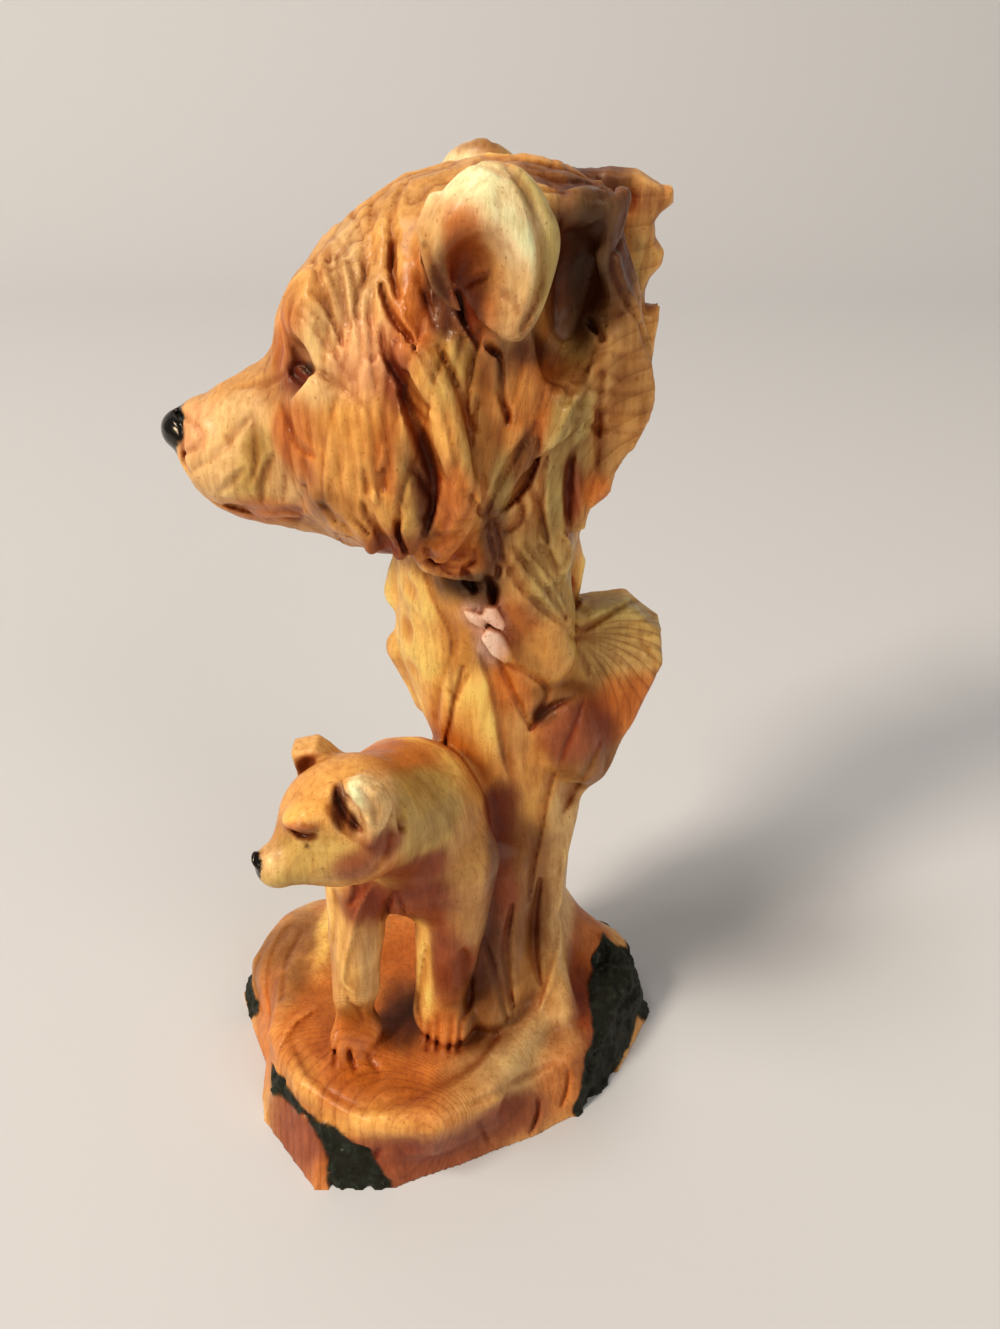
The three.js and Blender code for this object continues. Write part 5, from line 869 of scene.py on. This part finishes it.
# where the broken branch leaves the trunk, the rings open like a fan from the crotch
fx, fw = P[:, 0] - 27.4, leaned(P)[2] - 90.0
far, turn = np.hypot(fx, fw), np.arctan2(fw, fx)
m = 1 - ease(18, 26, far)
fan = (ease(-1.25, -0.9, turn) * (1 - ease(0.3, 0.6, turn)) * 0.75 + 0.6 * ease(1.5, 1.8, turn) * (1 - ease(2.2, 2.5, turn))) * ease(2, 9, far)
phase = np.where(m > 0.5, 20 * (turn + 0.022 * far) + noise(P, 6, 72) * 1.2, phase)
show = np.where(m > 0.5, fan * np.minimum(1, 2 * (2 * m - 1)), show * np.maximum(0, 1 - 2 * m))

gloss_black = np.zeros(n)
for c, r in (([-41.8, 4, 145.8], [4.6, 5.6, 4.6]), ([-26.9, -43.6, 88], [1.5, 2.5, 2.6])):
    gloss_black = np.maximum(gloss_black, 1 - ease(0.94, 1.0, patch(P, [(c, r)])))
gloss_black[(P[:, 0] > -37.6) & (P[:, 2] > 120)] = 0
barky = bark(P)

def attribute(name, values, kind="FLOAT"):
    a = mesh.attributes.new(name, kind, "POINT")
    v = np.asarray(values, np.float32)
    if kind == "FLOAT_COLOR":
        a.data.foreach_set("color", np.hstack([v, np.ones((len(v), 1), np.float32)]).ravel())
    else:
        a.data.foreach_set("value", v)
attribute("paint", np.clip(paint, 0, 0.94), "FLOAT_COLOR")
attribute("ring_phase", phase)
attribute("ring_show", show)
# the painted-shade mask, also used to roughen the varnish in hollows
attribute("deep", np.clip(deep + low[:, 0] * 0.6, 0, 1))
attribute("proud", np.clip(0.5 + 0.5 * (0.6 * ridge + 0.4 * dip), 0, 1))
attribute("bark", barky)
attribute("nose", gloss_black)

# ---- the varnished, painted resin
mat = bpy.data.materials.new("varnished_faux_wood"); mat.use_nodes = True
nt = mat.node_tree; nt.nodes.clear()
def node(kind, **kw):
    m = nt.nodes.new(kind)
    for k, v in kw.items():
        setattr(m, k, v)
    return m
def link(a, b):
    nt.links.new(a, b)
def value(x):
    return x
def math_node(op, a, b=None, clamp=False):
    m = node("ShaderNodeMath", operation=op, use_clamp=clamp)
    for i, x in enumerate((a, b)):
        if x is None:
            continue
        if isinstance(x, (int, float)):
            m.inputs[i].default_value = x
        else:
            link(x, m.inputs[i])
    return m.outputs[0]
def attr(name):
    return node("ShaderNodeAttribute", attribute_name=name)
def noise_node(scale, detail=3.0, rough=0.55, vector=None, distortion=0.0):
    m = node("ShaderNodeTexNoise"); m.inputs["Scale"].default_value = scale; m.inputs["Detail"].default_value = detail
    m.inputs["Roughness"].default_value = rough; m.inputs["Distortion"].default_value = distortion
    if vector is not None:
        link(vector, m.inputs["Vector"])
    return m.outputs["Fac"]
def mix(kind, fac, a, b):
    m = node("ShaderNodeMix", data_type="RGBA", blend_type=kind)
    for s, x in ((m.inputs["Factor"], fac), (m.inputs["A"], a), (m.inputs["B"], b)):
        if isinstance(x, (int, float)):
            s.default_value = x
        elif isinstance(x, tuple):
            s.default_value = x
        else:
            link(x, s)
    return m.outputs["Result"]
def ramp(x, stops):
    m = node("ShaderNodeValToRGB"); link(x, m.inputs[0])
    while len(m.color_ramp.elements) < len(stops):
        m.color_ramp.elements.new(0.5)
    for e, (at, v) in zip(m.color_ramp.elements, stops):
        e.position = at; e.color = (v, v, v, 1) if not isinstance(v, tuple) else v + (1,)
    return m.outputs[0]
coord = node("ShaderNodeTexCoord").outputs["Object"]
def stretched(sx, sy, sz, rx=0.0, ry=0.0, rz=0.0):
    m = node("ShaderNodeMapping"); link(coord, m.inputs["Vector"])
    m.inputs["Scale"].default_value = (sx, sy, sz); m.inputs["Rotation"].default_value = (rx, ry, rz)
    return m.outputs[0]
# fine fibres run up and down the carving
fibre = noise_node(1.0, 4.0, 0.62, stretched(900, 900, 120, 0.0, 0.22, 0.0))
fibre2 = noise_node(1.0, 3.0, 0.6, stretched(2200, 2200, 260, 0.0, -0.15, 0.0))
mottle = noise_node(130, 5.0, 0.6, coord, 0.4)
speck = noise_node(1500, 2.0, 0.5, coord)
# growth rings: soft bands with a thin dark late line
wobble = math_node("MULTIPLY", math_node("SUBTRACT", noise_node(55, 3.0, 0.5, coord), 0.5), 2.2)
ringx = math_node("ADD", attr("ring_phase").outputs["Fac"], wobble)
saw = math_node("FRACT", math_node("MULTIPLY", ringx, 0.36))
late = ramp(saw, [(0.0, 0.15), (0.55, 0.0), (0.86, 0.75), (0.93, 1.0), (1.0, 0.15)])
saw2 = math_node("FRACT", math_node("MULTIPLY", ringx, 1.31))
late2 = ramp(saw2, [(0.0, 0.0), (0.7, 0.1), (0.9, 1.0), (1.0, 0.0)])
where = math_node("MULTIPLY", ramp(noise_node(24, 2.0, 0.5, coord), [(0.34, 0.5), (0.6, 1.0)]), attr("ring_show").outputs["Fac"])
rings = math_node("MULTIPLY", math_node("ADD", math_node("MULTIPLY", late, 0.95), math_node("MULTIPLY", late2, 0.14)), where, True)

paint_c = attr("paint").outputs["Color"]
c = mix("MULTIPLY", math_node("MULTIPLY", rings, 0.8), paint_c, (0.42, 0.22, 0.10, 1))
c = mix("MULTIPLY", ramp(fibre, [(0.36, 0.45), (0.55, 0.0)]), c, (0.60, 0.44, 0.30, 1))
c = mix("MULTIPLY", ramp(mottle, [(0.34, 0.5), (0.55, 0.0)]), c, (0.66, 0.50, 0.36, 1))
c = mix("OVERLAY", ramp(mottle, [(0.52, 0.0), (0.74, 0.6)]), c, (0.72, 0.66, 0.56, 1))
c = mix("MULTIPLY", ramp(speck, [(0.26, 0.6), (0.36, 0.0)]), c, (0.45, 0.30, 0.20, 1))
# the bark: green-black, with brown where the paint wore through on its high spots
bark_a = attr("bark").outputs["Fac"]
crust = noise_node(420, 4.0, 0.6, coord, 0.3)
bark_c = ramp(crust, [(0.30, (0.0015, 0.003, 0.002)), (0.52, (0.005, 0.009, 0.006)), (0.66, (0.016, 0.024, 0.018)), (0.80, (0.03, 0.026, 0.016))])
c = mix("MIX", bark_a, c, bark_c)
nose_a = attr("nose").outputs["Fac"]
c = mix("MIX", nose_a, c, (0.004, 0.004, 0.0045, 1))

shader = node("ShaderNodeBsdfPrincipled")
link(c, shader.inputs["Base Color"])
r = ramp(noise_node(210, 4.0, 0.6, coord), [(0.30, 0.34), (0.70, 0.56)])
r = math_node("ADD", r, math_node("MULTIPLY", attr("deep").outputs["Fac"], 0.16), True)
r = math_node("ADD", r, math_node("MULTIPLY", bark_a, 0.42), True)
r = math_node("SUBTRACT", r, math_node("MULTIPLY", nose_a, 0.26), True)
link(r, shader.inputs["Roughness"])
shader.inputs["IOR"].default_value = 1.45
shader.inputs["Specular Tint"].default_value = (1.0, 0.74, 0.46, 1)
shader.inputs["Specular IOR Level"].default_value = 0.34
shader.inputs["Coat Weight"].default_value = 0.14
shader.inputs["Coat Roughness"].default_value = 0.21
h = math_node("ADD", math_node("MULTIPLY", fibre, 0.55), math_node("MULTIPLY", fibre2, 0.30))
h = math_node("ADD", h, math_node("MULTIPLY", mottle, 0.45))
h = math_node("SUBTRACT", h, math_node("MULTIPLY", rings, 0.35))
h = math_node("MULTIPLY", h, math_node("SUBTRACT", 1.0, nose_a))
h = math_node("ADD", h, math_node("MULTIPLY", math_node("MULTIPLY", crust, bark_a), 1.8))
bump = node("ShaderNodeBump"); bump.inputs["Strength"].default_value = 0.55; bump.inputs["Distance"].default_value = 0.0006
link(h, bump.inputs["Height"]); link(bump.outputs[0], shader.inputs["Normal"])
out = node("ShaderNodeOutputMaterial"); link(shader.outputs[0], out.inputs["Surface"])
mesh.materials.clear(); mesh.materials.append(mat)

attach(statue, "root")
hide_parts("bear_and_cub_casting")

# ---- a plain pale floor, soft light and the camera
def plain(name, colour, rough):
    m = bpy.data.materials.new(name); m.use_nodes = True; b = m.node_tree.nodes["Principled BSDF"]
    b.inputs["Base Color"].default_value = colour; b.inputs["Roughness"].default_value = rough
    return m
fm = bpy.data.meshes.new("floor")
pts, faces = [], []
prof = [(-1.6, 0.0)] + [(0.75 + 0.5 * math.sin(a), 0.5 - 0.5 * math.cos(a)) for a in np.linspace(0, math.pi / 2, 17)] + [(1.25, 2.4)]
for y, z in prof:
    pts += [(-2.5, y, z), (2.5, y, z)]
for i in range(len(prof) - 1):
    faces.append((2 * i, 2 * i + 1, 2 * i + 3, 2 * i + 2))
fm.from_pydata(pts, [], faces); fm.update()
fm.polygons.foreach_set("use_smooth", [True] * len(fm.polygons))
fm.materials.append(plain("pale_backdrop", (0.60, 0.60, 0.615, 1), 0.9))
floor = bpy.data.objects.new("floor", fm); bpy.context.scene.collection.objects.link(floor)

def lamp(name, at, to, size, power, colour):
    l = bpy.data.lights.new(name, "AREA"); l.shape = "DISK"; l.size = size; l.energy = power; l.color = colour
    o = bpy.data.objects.new(name, l); bpy.context.scene.collection.objects.link(o)
    o.location = at; o.rotation_mode = "QUATERNION"
    o.rotation_quaternion = (Vector(to) - Vector(at)).to_track_quat("-Z", "Y")
    return o
lamp("key", (-1.7, -1.15, 1.7), (0, 0, 0.1), 0.6, 55, (1.0, 0.88, 0.72))
lamp("fill", (1.2, -1.5, 1.2), (0, 0, 0.1), 1.2, 13, (1.0, 0.93, 0.84))
lamp("top", (-0.85, -0.25, 1.95), (0, 0, 0.1), 0.5, 16, (1.0, 0.94, 0.86))
world = bpy.data.worlds.new("soft"); bpy.context.scene.world = world; world.use_nodes = True
world.node_tree.nodes["Background"].inputs[0].default_value = (1.0, 0.96, 0.90, 1)
world.node_tree.nodes["Background"].inputs[1].default_value = 0.18

EYE = (13.5, -173.0, 208.0)   # mm, in the sculpting frame
DOWN = math.radians(32.0)
LENS = 36.0 * 1050 / 1329
cam = bpy.data.cameras.new("photo"); camera = bpy.data.objects.new("photo", cam)
bpy.context.scene.collection.objects.link(camera); bpy.context.scene.camera = camera
cam.sensor_fit = "VERTICAL"; cam.sensor_height = 36; cam.lens = LENS; cam.clip_start = 0.01; cam.clip_end = 20
f = np.array([0, math.cos(DOWN), -math.sin(DOWN)]); u = np.array([0, math.sin(DOWN), math.cos(DOWN)]); r_ = np.array([1.0, 0, 0])
at = [(EYE[0] - CENTRE_X) / 1000, (EYE[1] - CENTRE_Y) / 1000, EYE[2] / 1000]
camera.matrix_world = Matrix([[r_[0], u[0], -f[0], at[0]], [r_[1], u[1], -f[1], at[1]], [r_[2], u[2], -f[2], at[2]], [0, 0, 0, 1]])
bpy.context.scene.view_settings.view_transform = "Standard"
